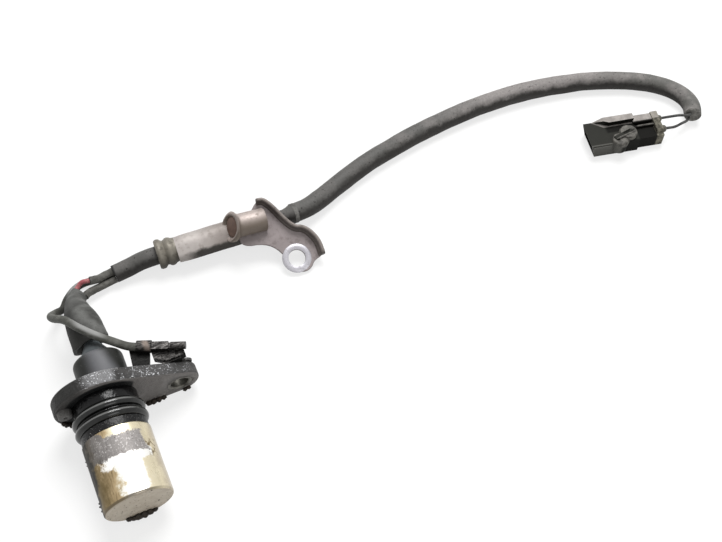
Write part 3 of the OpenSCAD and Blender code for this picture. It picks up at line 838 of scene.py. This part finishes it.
class Look:
    """One node material, wired step by step. Lengths are in millimetres in the frame place."""

    def __init__(self, name, place=None, **fixed):
        self.mat = bpy.data.materials.new(name)
        self.mat.use_nodes = True
        self.tree = self.mat.node_tree
        self.shader = self.tree.nodes["Principled BSDF"]
        for socket, value in fixed.items():
            self.shader.inputs[socket.replace("_", " ")].default_value = value
        self.spot = self.node("ShaderNodeTexCoord", "Object", {})
        if place is not None:
            self.spot = self.mapped("TEXTURE", Location=place.to_translation(), Rotation=place.to_euler())

    def node(self, kind, out, inputs, **settings):
        """Adds a node and gives one of its outputs."""
        plain = {key: value.socket if isinstance(value, Value) else value for key, value in inputs.items()}
        return Value(self, add_node(self.tree, kind, plain, **settings).outputs[out])

    def feed(self, socket, value):
        """Links a value to the shader."""
        self.tree.links.new(value.socket, self.shader.inputs[socket])

    def mapped(self, kind, **inputs):
        """The point, placed anew."""
        return self.node("ShaderNodeMapping", "Vector", {"Vector": self.spot, **inputs}, vector_type=kind)

    def noise(self, size, detail=4.0, roughness=0.6, stretch=(1, 1, 1), shift=(0, 0, 0)):
        spot = self.mapped("POINT", Scale=[s / (size * MM) for s in stretch], Location=shift)
        inputs = {"Vector": spot, "Scale": 1, "Detail": detail, "Roughness": roughness}
        return self.node("ShaderNodeTexNoise", "Fac", inputs)

    def math(self, op, a, b):
        return self.node("ShaderNodeMath", 0, {0: a, 1: b}, operation=op)

    def axes(self, letters):
        """The point's own coordinates in millimetres."""
        return [self.node("ShaderNodeSeparateXYZ", c, {0: self.spot}) * 1000.0 for c in letters]

    def facing(self, direction):
        """How far the surface faces a direction, from -1 to 1, in the row frame."""
        normal = self.node("ShaderNodeNewGeometry", "Normal", {})
        return self.node("ShaderNodeVectorMath", "Value", {0: normal, 1: direction}, operation="DOT_PRODUCT")

    def mix(self, share, a, b):
        """A colour between a and b."""
        a, b = (color if isinstance(color, Value) else (*color, 1) for color in (a, b))
        return self.node("ShaderNodeMix", 2, {0: share, 6: a, 7: b}, data_type="RGBA")

    def blend(self, share, a, b):
        """A number between a and b."""
        return self.node("ShaderNodeMix", 0, {0: share, 2: a, 3: b}, data_type="FLOAT")

    def bump(self, height, strength, depth):
        """depth in millimetres."""
        inputs = {"Height": height, "Strength": strength, "Distance": depth * MM}
        self.feed("Normal", self.node("ShaderNodeBump", "Normal", inputs))

    def finish(self, color, roughness):
        self.feed("Base Color", color)
        self.feed("Roughness", roughness)
        return self.mat


def tone(color, factor):
    return [c * factor for c in color]


def bare_metal(look, angle, a_cut, z, z_cut, streak):
    """The can's clean metal: a painted highlight along the top, brown and streaked on its left, spotted on
    its right, and a painted shade line in the rounded edge at its end.
    """
    # Painted highlight: the two zones below, joined as bright, paint the can's top near white.
    wide_highlight = a_cut.step(-36, -28) * a_cut.fall(48, 54) * z_cut.fall(27.4, 28.2)
    slim_highlight = a_cut.step(-16, -6) * a_cut.fall(26, 38)
    bright = (wide_highlight | slim_highlight) * z.step(22, 24)
    spots = a_cut.step(40, 46) * a_cut.fall(66, 72) * z.step(20, 22) * z.fall(26, 28)
    spots = spots * look.noise(1.8, 4, 0.6).step(0.48, 0.6)
    tan = look.mix(a_cut.step(-52, -16), (0.15, 0.11, 0.05), (0.46, 0.35, 0.205))
    tan = tan.to(streak.step(0.5, 0.72, 0, 0.75), (0.085, 0.06, 0.025))
    # Painted shade: a dark line painted round the rounded edge between the side and the end face.
    rim = z.step(REACH - 1.25, REACH - 0.95) * angle.step(20, 60, 0.9, 0.3)
    metal = look.mix(look.noise(7, 3), (0.68, 0.6, 0.41), (0.77, 0.7, 0.53))
    metal = metal.to(a_cut.step(46, 80, 0, 0.8), (0.42, 0.36, 0.27))
    metal = metal.to(spots, (0.2, 0.15, 0.08))
    metal = metal.to(a_cut.fall(-20, -8), tan)
    metal = metal.to(bright, (0.97, 0.96, 0.92))
    return metal.to(rim, (0.13, 0.105, 0.07))


def worn_metal(look, a_cut, fine, streak):
    """The can's rough worn patch, paler toward the top."""
    pale = a_cut.step(-58, -6)
    pits = look.noise(0.6, 3, 0.6, shift=(4, 1, 2)).step(0.6, 0.68)
    worn = look.mix(streak.step(0.3, 0.7), (0.05, 0.046, 0.04), (0.15, 0.138, 0.125))
    worn = worn.to(pale * fine.step(0.56, 0.64), (0.62, 0.6, 0.58))
    worn = worn.to(pale * 0.55, (0.34, 0.32, 0.312))
    worn = worn.to(pits, (0.08, 0.07, 0.066))
    return worn.to(a_cut.step(-58, -24, 0.8, 0), (0.115, 0.096, 0.074))


def can_look():
    """Brass-coloured metal with a painted highlight along the top, a rough worn patch near the flange, dark
    on its left.
    """
    look = Look("can_metal", SENSOR, Specular_IOR_Level=0.2)
    x, y, z = look.axes("XYZ")
    cos, sin = math.cos(EAR_DIP), math.sin(EAR_DIP)
    angle = look.math("ARCTAN2", x * cos + y * sin, x * -sin + y * cos) * (180 / math.pi)
    coarse = look.noise(4.5, 6, 0.7) - 0.5
    fine = look.noise(0.7, 4, 0.65)
    streak = look.noise(0.8, 4, 0.65, (1, 1, 0.16))
    z_cut = z + coarse * 7.0
    a_cut = angle + coarse * 60.0
    above_top = (z_cut - a_cut.step(-38, -14, 13.0, 17.0)).step(-0.3, 0.3)
    patch = above_top * z_cut.fall(24.0, 24.7) * a_cut.fall(44, 52)
    left = (a_cut + z.step(27, 36, 0, 16)).fall(-62, -46)
    face = z.step(REACH - 0.35, REACH - 0.15)
    dark = look.mix(streak.step(0.4, 0.7), (0.008, 0.007, 0.005), (0.042, 0.036, 0.025))
    pits = look.noise(0.9, 2, 0.4, shift=(2, 8, 5)).step(0.66, 0.69)
    end = look.mix(look.noise(3, 4).step(0.3, 0.7), (0.335, 0.29, 0.228), (0.4, 0.355, 0.29))
    end = end.to(pits, (0.06, 0.05, 0.04))
    color = bare_metal(look, angle, a_cut, z, z_cut, streak)
    color = color.to(patch, worn_metal(look, a_cut, fine, streak)).to(left, dark).to(face, end)
    dull = patch | left | face
    look.feed("Metallic", look.blend(dull, 1.0, 0.25))
    clean = look.blend(look.noise(3, 4), 0.24, 0.32)
    rough = look.blend(dull, look.blend(a_cut.fall(-20, -8), clean, 0.4), 0.5)
    look.bump(fine * (patch | left) + dull * -0.5, 0.5, 0.12)
    return look.finish(color, rough)


def flange_look():
    """Dark moulding: front face painted paler as light, a painted sheen and painted glints on the rim that
    faces up, which has oil on it, black round the barrel and darker at its left end.
    """
    look = Look("housing_flange", SENSOR, Specular_IOR_Level=0.18)
    x, y = look.axes("XY")
    blotch = look.noise(4, 5, 0.65).step(0.35, 0.65)
    grit = look.noise(0.6, 4, 0.7)
    ragged = x + (look.noise(3, 4) - 0.5) * 14.0
    mid = ragged.step(-11, -5) * ragged.fall(0, 5)
    ear = ragged.step(5, 10) * ragged.step(20, 26, 0.16, 0.1)
    # Painted sheen: the rim that faces up has oil on it, and its colour is painted paler as sheen.
    oil_and_sheen = look.facing(UP).step(0.25, 0.85) * (mid + ear)
    specks = look.noise(0.55, 3, 0.6, shift=(1, 4, 2)) + look.noise(2.2, 3) * 0.35
    # Painted glints: white specks painted on that rim.
    painted_glint = specks.step(0.76, 0.84) * oil_and_sheen.step(0.04, 0.2)
    front = look.facing((0, -1, 0)).step(0.4, 0.9)
    # The front face round the barrel is painted black.
    black_round_barrel = x.fall(8.6, 9.6) * (x * x + y * y).fall(190, 225)
    color = look.mix(blotch, (0.025, 0.024, 0.023), (0.05, 0.048, 0.047))
    # Painted light: the front face is painted paler than the other faces of the moulding.
    color = color.to(front * 0.8, (0.16, 0.15, 0.143))
    color = color.to(oil_and_sheen * 0.65, (0.24, 0.24, 0.245))
    color = color.to(grit.step(0.6, 0.7, 0, 0.8), (0.01, 0.009, 0.009))
    # Darker toward its left end.
    color = color.to(x.fall(-12, -6) * 0.75, (0.016, 0.016, 0.015))
    color = color.to(black_round_barrel * front, (0.003, 0.0034, 0.0034))
    color = color.to(painted_glint, (0.72, 0.73, 0.75))
    look.bump(grit + blotch, 0.8, 0.3)
    return look.finish(color, look.blend(oil_and_sheen, 0.55, 0.3))


def barrel_look():
    """Oily black moulding between flange and can, with pale grit beside the can."""
    look = Look("housing_barrel", SENSOR, Specular_IOR_Level=0.22)
    [z] = look.axes("Z")
    band = z.step(BARREL_LEN - 3.4, BARREL_LEN - 2.4)
    grit = look.noise(0.5, 3, 0.6).step(0.62, 0.69) * band
    oil = look.noise(2.4, 4, 0.6)
    color = look.mix(oil, (0.0015, 0.0016, 0.0018), (0.005, 0.005, 0.0052)).to(grit, (0.3, 0.29, 0.28))
    look.bump(oil + grit, 0.7, 0.4)
    return look.finish(color, look.blend(band, look.blend(oil, 0.08, 0.2), 0.34))


def shoulder_look():
    """Satin grey-black moulding with a painted sheen down its middle, bluish at the neck, dark at both sides.
    """
    look = Look("housing_shoulder", SENSOR, Specular_IOR_Level=0.18)
    x, z = look.axes("XZ")
    soft = look.noise(3, 3, 0.5)
    slant = x - (z + 11.0) * 0.4
    # Painted sheen: a paler band down the middle of the shoulder.
    sheen = x.step(-5, -0.5) * slant.fall(1.8, 6.8)
    sheen_band_tone = look.mix(soft, (0.088, 0.089, 0.096), (0.125, 0.126, 0.133))
    color = look.mix(sheen, (0.015, 0.0155, 0.014), sheen_band_tone)
    color = color.to(z.step(-18, -16.6, 0.8, 0), (0.058, 0.067, 0.071))
    color = color.to(look.noise(0.6, 4, 0.6).step(0.62, 0.72, 0, 0.3), (0.17, 0.17, 0.16))
    look.bump(look.noise(0.5, 3), 0.2, 0.08)
    return look.finish(color, look.blend(soft, 0.38, 0.55))


def sheath_look():
    """Smooth dark sleeve, painted paler as light on what faces up and back, with tan-grey scuffs toward the
    connector and painted shade in its open end.
    """
    look = Look("sheath_rubber", Specular_IOR_Level=0.18)
    [x] = look.axes("X")
    scuff = look.noise(9, 4, 0.6).step(0.42, 0.66)
    fine = look.noise(0.8, 4, 0.65)
    ragged = (look.noise(5, 5, 0.65, shift=(2, 6, 1)) - 0.5) * 1.1
    # Painted light: what faces up and back is painted paler.
    top = (look.facing((-0.1, 0.45, 0.88)) + ragged).step(0.0, 0.65)
    nick = look.noise(1.1, 2, 0.4, shift=(3, 1, 4)).step(0.67, 0.7, 0, 0.7)
    above = look.mix(x.step(150, 195), (0.085, 0.083, 0.079), (0.215, 0.2, 0.193))
    above = above.to(x.step(215, 262), (0.105, 0.103, 0.096))
    color = look.mix(top, (0.024, 0.0225, 0.021), above)
    color = color.to(top * scuff * x.step(110, 190, 0.15, 0.6), (0.27, 0.25, 0.242))
    # Painted shade: the open end and a short band of its outside are painted near black.
    color = color.to(x.step(10.2, 10.8, 0.95, 0), (0.004, 0.004, 0.004))
    color = color.to(fine.step(0.3, 0.7, 0, 0.3), (0.04, 0.038, 0.035))
    color = color.to(nick, (0.014, 0.013, 0.012))
    look.bump(fine - nick, 0.3, 0.1)
    return look.finish(color, look.blend(scuff, 0.55, 0.7))


def strap_look():
    """Dull off-white plating on top of the strap; its front skirt is painted black as shade."""
    look = Look("bracket_strap", BRACKET, Metallic=0.2, Specular_IOR_Level=0.3)
    x, y = look.axes("XY")
    cloud = look.noise(7, 4, 0.55).step(0.35, 0.68)
    stains = look.noise(2.6, 5, 0.65).step(0.5, 0.68)
    edge = y + (look.noise(3, 3) - 0.5) * 1.5
    # Painted shade: the front skirt faces down and to the front and is painted near black.
    skirt = edge.fall(-6.2, -5.0) * x.step(9, 16, 0.3, 0.95)
    color = look.mix(cloud, (0.3, 0.272, 0.258), (0.38, 0.35, 0.33))
    color = color.to(stains * 0.35, (0.16, 0.135, 0.115))
    color = color.to(x.step(13, 27, 0, 0.7), (0.175, 0.15, 0.135))
    color = color.to(skirt, (0.018, 0.016, 0.013))
    look.bump(look.noise(0.5, 3, 0.6) + stains, 0.25, 0.08)
    return look.finish(color, look.blend(stains, 0.5, 0.7))


def zinc_look(name, pale, stain, metallic=0.35, rough=0.5, lit_side=UP):
    """Dull plated sheet, off-white, with pinkish-brown stains, and painted shade on what faces away from its
    lit side.
    """
    look = Look(name, Metallic=metallic, Specular_IOR_Level=0.3)
    cloud = look.noise(7, 4, 0.55).step(0.35, 0.68)
    stains = look.noise(2.4, 5, 0.65).step(0.48, 0.66)
    # Painted shade: what faces away from the lit side takes the stain colour.
    low = look.facing(lit_side).fall(-0.1, 0.75)
    fine = look.noise(0.5, 3, 0.6)
    color = look.mix(cloud, tone(pale, 0.84), pale)
    color = color.to(stains * 0.45 | low * 0.9, stain)
    color = color.to(fine.step(0.62, 0.75, 0, 0.4), tone(stain, 0.5))
    look.bump(fine + stains, 0.25, 0.08)
    return look.finish(color, look.blend(stains, rough, rough + 0.2))


def connector_look():
    """Charcoal moulding: near-black behind and beside the latch, a pale far strip painted as light where it
    faces up, the near side painted paler as light toward the mouth, a mottled tan rear rim.
    """
    look = Look("connector_plastic", CONNECTOR, Specular_IOR_Level=0.05)
    x, y, z = look.axes("XYZ")
    wear = look.noise(2.2, 5, 0.65)
    grit = look.noise(0.4, 3, 0.6)
    # Painted light: the far strip that faces up is painted pale.
    far = y.step(8.9, 9.6) * z.step(5, 7) * look.facing(UP).step(0.35, 0.8) * (x + y * 1.3).step(19.6, 20.8)
    slot = x.step(8, 9.5) * y.step(5.6, 6.4) * z.step(6, 6.6)
    near = y.fall(0.2, 0.8)
    rim = x.step(29.3, 29.9) * look.noise(1.6, 5, 0.7).step(0.3, 0.7, 0.1, 0.8)
    pale = look.mix(wear.step(0.35, 0.65), (0.22, 0.204, 0.192), (0.32, 0.298, 0.28))
    black = look.mix(wear, (0.003, 0.0029, 0.0024), (0.007, 0.0066, 0.0055))
    color = look.mix(wear, (0.017, 0.017, 0.0145), (0.026, 0.026, 0.0225))
    color = color.to(x.step(20.8, 21.8) | slot, black)
    # Painted light: the near side is painted paler toward the mouth.
    color = color.to(near * x.step(12, 14, 0.6, 0), (0.12, 0.117, 0.108))
    color = color.to(near * x.step(12, 14), (0.007, 0.007, 0.006))
    color = color.to(far, pale)
    color = color.to(rim, (0.22, 0.207, 0.165))
    color = color.to(grit.step(0.64, 0.74, 0, 0.2), (0.1, 0.097, 0.09))
    look.bump(grit + wear, 0.2, 0.08)
    return look.finish(color, look.blend(wear, 0.5, 0.68))


def plastic_look(name, dark, dusty, size, gloss):
    """Moulded plastic with dark patches of oil and pale dust on what faces up."""
    look = Look(name, Specular_IOR_Level=0.25)
    patch = look.noise(size * 5, 5, 0.6).step(0.35, 0.65)
    dust = look.noise(size, 6, 0.7).step(0.45, 0.7)
    share = dust * (look.facing(UP).step(0.1, 0.9) * 0.7 + 0.15)
    color = look.mix(patch, dark, tone(dark, 1.7)).to(share, dusty)
    look.bump(look.noise(0.35, 3, 0.6) + dust * 0.8, 0.4, 0.1)
    return look.finish(color, look.blend(share, look.blend(patch, gloss - 0.12, gloss + 0.1), 0.75))


def rubber_look(name, dark, dusty, size=1.0, gloss=0.6, spread=(0.4, 0.65), weave=0.0, tint=None):
    """Rubber or cloth-covered rubber with mottled dust."""
    look = Look(name, Specular_IOR_Level=0.25)
    mottle = look.noise(size * 4, 5, 0.65).step(*spread)
    small = look.noise(size * 0.5, 4, 0.7)
    grit = look.noise(0.5, 2, 0.5, shift=(5, 2, 1)).step(0.62, 0.72)
    share = mottle * (look.facing(UP).step(-0.6, 0.5) * 0.75 + 0.25)
    color = look.mix(share, dark, dusty)
    color = color.to(small.step(0.3, 0.7, 0, 0.35), tone(dark, 0.6))
    color = color.to(grit * 0.5, tone(dark, 0.3))
    if tint:
        color = tint(look, color)
    look.bump(small + grit * weave, 0.35, 0.12)
    return look.finish(color, look.blend(share, gloss, min(1.0, gloss + 0.2)))


def boot_painted_shade(look, color):
    """Painted shade on the boot's left side."""
    return color.to(look.facing((-0.9, -0.4, 0.1)).step(-0.05, 0.65, 0, 0.85), (0.012, 0.012, 0.0105))


def drain_shade_and_highlight(look, color):
    """Painted shade where the lead lies low behind the boot, and a painted highlight on its top where it
    crosses over it.
    """
    x, z = look.axes("XZ")
    over = x.step(-11, -7, 0, 0.7) * x.fall(-3, 1)
    # Painted highlight: the top of the lead over the boot is painted pale.
    dusty = over * look.facing((0.2, 0.3, 0.93)).step(0.45, 0.9)
    return color.to(z.step(5, 9.5, 0.85, 0), (0.016, 0.016, 0.013)).to(dusty, (0.3, 0.3, 0.295))


def metal_look(name, bright, stain, rough):
    """Plated sheet metal with tarnish."""
    look = Look(name, Metallic=0.9)
    rust = look.noise(3, 6, 0.65).step(0.45, 0.65)
    color = look.mix(look.noise(9, 3), bright, tone(bright, 0.85)).to(rust, stain)
    look.bump(look.noise(0.4, 3, 0.6) + rust, 0.25, 0.08)
    return look.finish(color, look.blend(rust, rough, rough + 0.25))


def clip_look():
    """Blackened terminal: black leg painted as shade, grey crimps with one tan spot and a streaked shelf,
    their grey painted as light on what faces up.
    """
    look = Look("clip_metal", Metallic=0.6, Specular_IOR_Level=0.3)
    x, z = look.axes("XZ")
    streak = look.noise(0.9, 4, 0.65, (0.35, 1.4, 1)).step(0.38, 0.66)
    # Painted shade: the leg lies in shade and is painted black.
    leg = x.fall(12.2, 12.9) * z.fall(18.6, 18.9)
    spot = x.step(10.2, 11.4) * x.step(12.2, 13.2, 0.6, 0) * z.step(20.2, 21.2)
    # Painted light: what faces up is painted grey, in streaks.
    top = look.mix(streak, (0.011, 0.01, 0.0095), (0.095, 0.09, 0.086))
    color = look.mix(look.facing(UP).step(0.1, 0.9), (0.008, 0.0076, 0.007), top)
    color = color.to(spot, (0.24, 0.195, 0.165)).to(leg, (0.0035, 0.0034, 0.003))
    look.bump(streak + look.noise(0.4, 3), 0.5, 0.15)
    return look.finish(color, look.blend(streak, 0.5, 0.32))


def ring_look():
    """Seal rubber with oil on it, a grey highlight painted along the crest."""
    look = Look("ring_rubber", SENSOR, Specular_IOR_Level=0.36)
    oil = look.noise(2, 4, 0.6).step(0.35, 0.7)
    flank = look.facing(SENSOR.to_3x3() @ Vector((0, 0, -1)))
    # Painted sheen: a grey streak along the crest where it faces up.
    crest = flank.step(-0.2, 0.12) * flank.fall(0.2, 0.5) * look.facing(UP).step(0.35, 0.9, 0, 0.7)
    color = look.mix(oil, (0.003, 0.0032, 0.003), (0.009, 0.0095, 0.0085)).to(crest, (0.16, 0.162, 0.158))
    look.bump(look.noise(0.5, 3), 0.12, 0.05)
    return look.finish(color, look.blend(oil, 0.07, 0.15))


def dress(mat, *objs):
    """Gives a material to its pieces or CAD nodes."""
    for obj in objs:
        obj.data.materials.clear()
        obj.data.materials.append(mat)


def soften(obj):
    """Rounds a CAD node's edges for the light."""
    corner = math.radians(35)
    edge = obj.modifiers.new("edges", "BEVEL")
    edge.limit_method, edge.angle_limit = "ANGLE", corner
    edge.width, edge.segments = 0.25 * MM, 2
    edge.harden_normals = False
    obj.data.shade_smooth()
    obj.data.set_sharp_from_angle(angle=corner)


# Floor and light

# Share of plain white in the floor as it is seen, and the sky's strength as a light.
FLOOR_GLOW = 0.72
SKY_LIGHT = 0.44
FLOOR_HALF = 4.0
LAMP_AIM = Vector((0.1, 0.03, 0))


def seen_rays(tree):
    """1 for the rays that show the backdrop: straight to the camera, in gloss or through glass."""
    rays = add_node(tree, "ShaderNodeLightPath").outputs
    total = rays["Is Camera Ray"]
    for kind in ("Is Glossy Ray", "Is Transmission Ray"):
        either = add_node(tree, "ShaderNodeMath", {0: total, 1: rays[kind]}, operation="MAXIMUM")
        total = either.outputs[0]
    return total


def make_stage():
    """White floor, partly glowing where it is seen."""
    mesh = bpy.data.meshes.new("floor")
    corners = [(x * FLOOR_HALF, y * FLOOR_HALF, 0) for x, y in ((-1, -1), (1, -1), (1, 1), (-1, 1))]
    mesh.from_pydata(corners, [], [(0, 1, 2, 3)])
    in_scene("floor", mesh)
    mat = bpy.data.materials.new("floor")
    mat.use_nodes = True
    tree = mat.node_tree
    tree.nodes.clear()
    share = add_node(tree, "ShaderNodeMath", {0: seen_rays(tree), 1: FLOOR_GLOW}, operation="MULTIPLY")
    plain = add_node(tree, "ShaderNodeBsdfDiffuse", {"Color": (0.9, 0.9, 0.89, 1)})
    glow = add_node(tree, "ShaderNodeEmission", {"Strength": 1})
    both = {"Fac": share.outputs[0], 1: plain.outputs[0], 2: glow.outputs[0]}
    mixer = add_node(tree, "ShaderNodeMixShader", both)
    add_node(tree, "ShaderNodeOutputMaterial", {"Surface": mixer.outputs[0]})
    mesh.materials.append(mat)


def area_light(name, place, size, power):
    """A round lamp that shines from place at the part."""
    data = bpy.data.lights.new(name, "AREA")
    data.shape, data.size, data.energy = "DISK", size, power
    lamp = in_scene(name, data)
    lamp.location = place
    look_along(lamp, LAMP_AIM - Vector(place))


def make_light():
    world = bpy.data.worlds.new("studio")
    scene.world = world
    world.use_nodes = True
    tree = world.node_tree
    sky = tree.nodes["Background"]
    sky.inputs["Color"].default_value = (1, 1, 1, 1)
    inputs = {"Value": seen_rays(tree), "To Min": SKY_LIGHT, "To Max": 1}
    level = add_node(tree, "ShaderNodeMapRange", inputs)
    tree.links.new(level.outputs["Result"], sky.inputs["Strength"])
    area_light("overhead", (0.42, 0.5, 1.0), 0.72, 16.5)
    area_light("front_fill", (0.3, -0.9, 0.7), 0.6, 2.2)
    scene.view_settings.view_transform = "Standard"


# The scene
make_camera()
cords, routes = make_cords()
boot = make_boot()
can = make_can()
rings = make_rings()
housing = make_housing()
bush = make_bush()
clip_plate = make_clip_plate()
clamp = make_bracket()
cuff, cut_face = make_trim(routes["sheath"])
latch = make_latch()
seals = make_seals()
dark_clot = make_clots()
declare_cords(routes)
for cad_node in ("earth_clip", "connector_housing"):
    soften(nodes[cad_node])

# Looks of the head
dress(can_look(), can)
dress(flange_look(), housing["flange"])
dress(plastic_look("pip_plastic", (0.06, 0.058, 0.055), (0.17, 0.165, 0.16), 0.6, 0.5), housing["pip"])
dress(barrel_look(), housing["barrel"])
dress(shoulder_look(), housing["rear"])
dress(ring_look(), *rings)
dress(rubber_look("dark_clot", (0.016, 0.012, 0.009), (0.05, 0.04, 0.031), 0.5, 0.7), dark_clot)
dress(metal_look("bush_steel", (0.13, 0.125, 0.11), (0.05, 0.047, 0.042), 0.45), bush)
dress(clip_look(), nodes["earth_clip"])
dress(metal_look("clip_plate", (0.09, 0.088, 0.086), (0.02, 0.019, 0.018), 0.45), clip_plate)

# Looks of the boot and the cords
boot_skin = ((0.028, 0.028, 0.025), (0.135, 0.136, 0.13), 1.8, 0.6, (0.34, 0.7))
drain_skin = ((0.052, 0.053, 0.045), (0.125, 0.125, 0.114), 1.2)
sleeve_skin = ((0.07, 0.068, 0.061), (0.15, 0.146, 0.135), 0.8, 0.7)
wire_skin = ((0.025, 0.025, 0.025), (0.07, 0.07, 0.068), 0.8, 0.45)
dress(rubber_look("boot_rubber", *boot_skin, tint=boot_painted_shade), boot)
dress(rubber_look("drain_cover", *drain_skin, tint=drain_shade_and_highlight), cords["drain"])
dress(rubber_look("red_cover", (0.3, 0.075, 0.085), (0.42, 0.17, 0.17), 0.8, 0.45), cords["red"])
dress(rubber_look("sleeve_cloth", *sleeve_skin, weave=0.6), cords["sleeve_a"], cords["sleeve_b"])
dress(sheath_look(), cords["sheath"])
dress(rubber_look("cuff_rubber", (0.06, 0.058, 0.053), (0.17, 0.165, 0.155), 1.0, 0.6), cuff)
dress(rubber_look("cut_face", (0.08, 0.077, 0.07), (0.25, 0.243, 0.225), 0.6, 0.65), cut_face)
dress(rubber_look("wire_cover", *wire_skin), cords["wire_a"], cords["wire_b"])

# Looks of the bracket
knuckle_skin = ((0.39, 0.335, 0.31), (0.11, 0.088, 0.068))
dress(strap_look(), clamp["strap"])
dress(zinc_look("bracket_collar", (0.185, 0.17, 0.142), (0.035, 0.03, 0.023)), clamp["collar"])
dress(zinc_look("bracket_knuckle", *knuckle_skin, lit_side=(0, 0.68, 0.73)), clamp["knuckle"])
dress(zinc_look("bracket_plate", (0.258, 0.224, 0.222), (0.135, 0.112, 0.107), 0.2), clamp["plate"])
# Painted shade: the lip is the plate's sheet turned up, given darker colours for the shade on its inner face.
dress(zinc_look("bracket_lip", (0.19, 0.165, 0.152), (0.055, 0.047, 0.042), 0.2), clamp["lip"])
dress(zinc_look("bolt_seat", (0.44, 0.43, 0.46), (0.2, 0.19, 0.2), 0.6, 0.4), clamp["seat"])
dress(rubber_look("bush_rubber", (0.12, 0.075, 0.058), (0.2, 0.135, 0.108), 1.0, 0.6), clamp["core"])

# Looks of the connector
dress(connector_look(), nodes["connector_housing"])
dress(rubber_look("latch_plastic", (0.046, 0.043, 0.038), (0.15, 0.143, 0.128), 0.5, 0.55), latch)
dress(rubber_look("seal_rubber", (0.07, 0.066, 0.055), (0.2, 0.19, 0.155), 0.6, 0.55), *seals)
dress(metal_look("pin_metal", (0.7, 0.68, 0.62), (0.3, 0.26, 0.2), 0.35), nodes["pin_a"], nodes["pin_b"])

# Looks of what is held inside the head
dress(rubber_look("bobbin_plastic", (0.6, 0.56, 0.45), (0.75, 0.72, 0.6), 1.0, 0.5), nodes["coil_bobbin"])
dress(metal_look("copper_wire", (0.72, 0.4, 0.22), (0.4, 0.2, 0.1), 0.35), nodes["coil_winding"])
dress(metal_look("iron", (0.5, 0.5, 0.52), (0.25, 0.22, 0.2), 0.5), nodes["pole_piece"], nodes["back_iron"])
dress(metal_look("magnet", (0.3, 0.3, 0.33), (0.16, 0.15, 0.15), 0.5), nodes["magnet"])
dress(plastic_look("potting", (0.06, 0.05, 0.04), (0.2, 0.18, 0.15), 1.0, 0.4), nodes["potting"])
make_stage()
make_light()
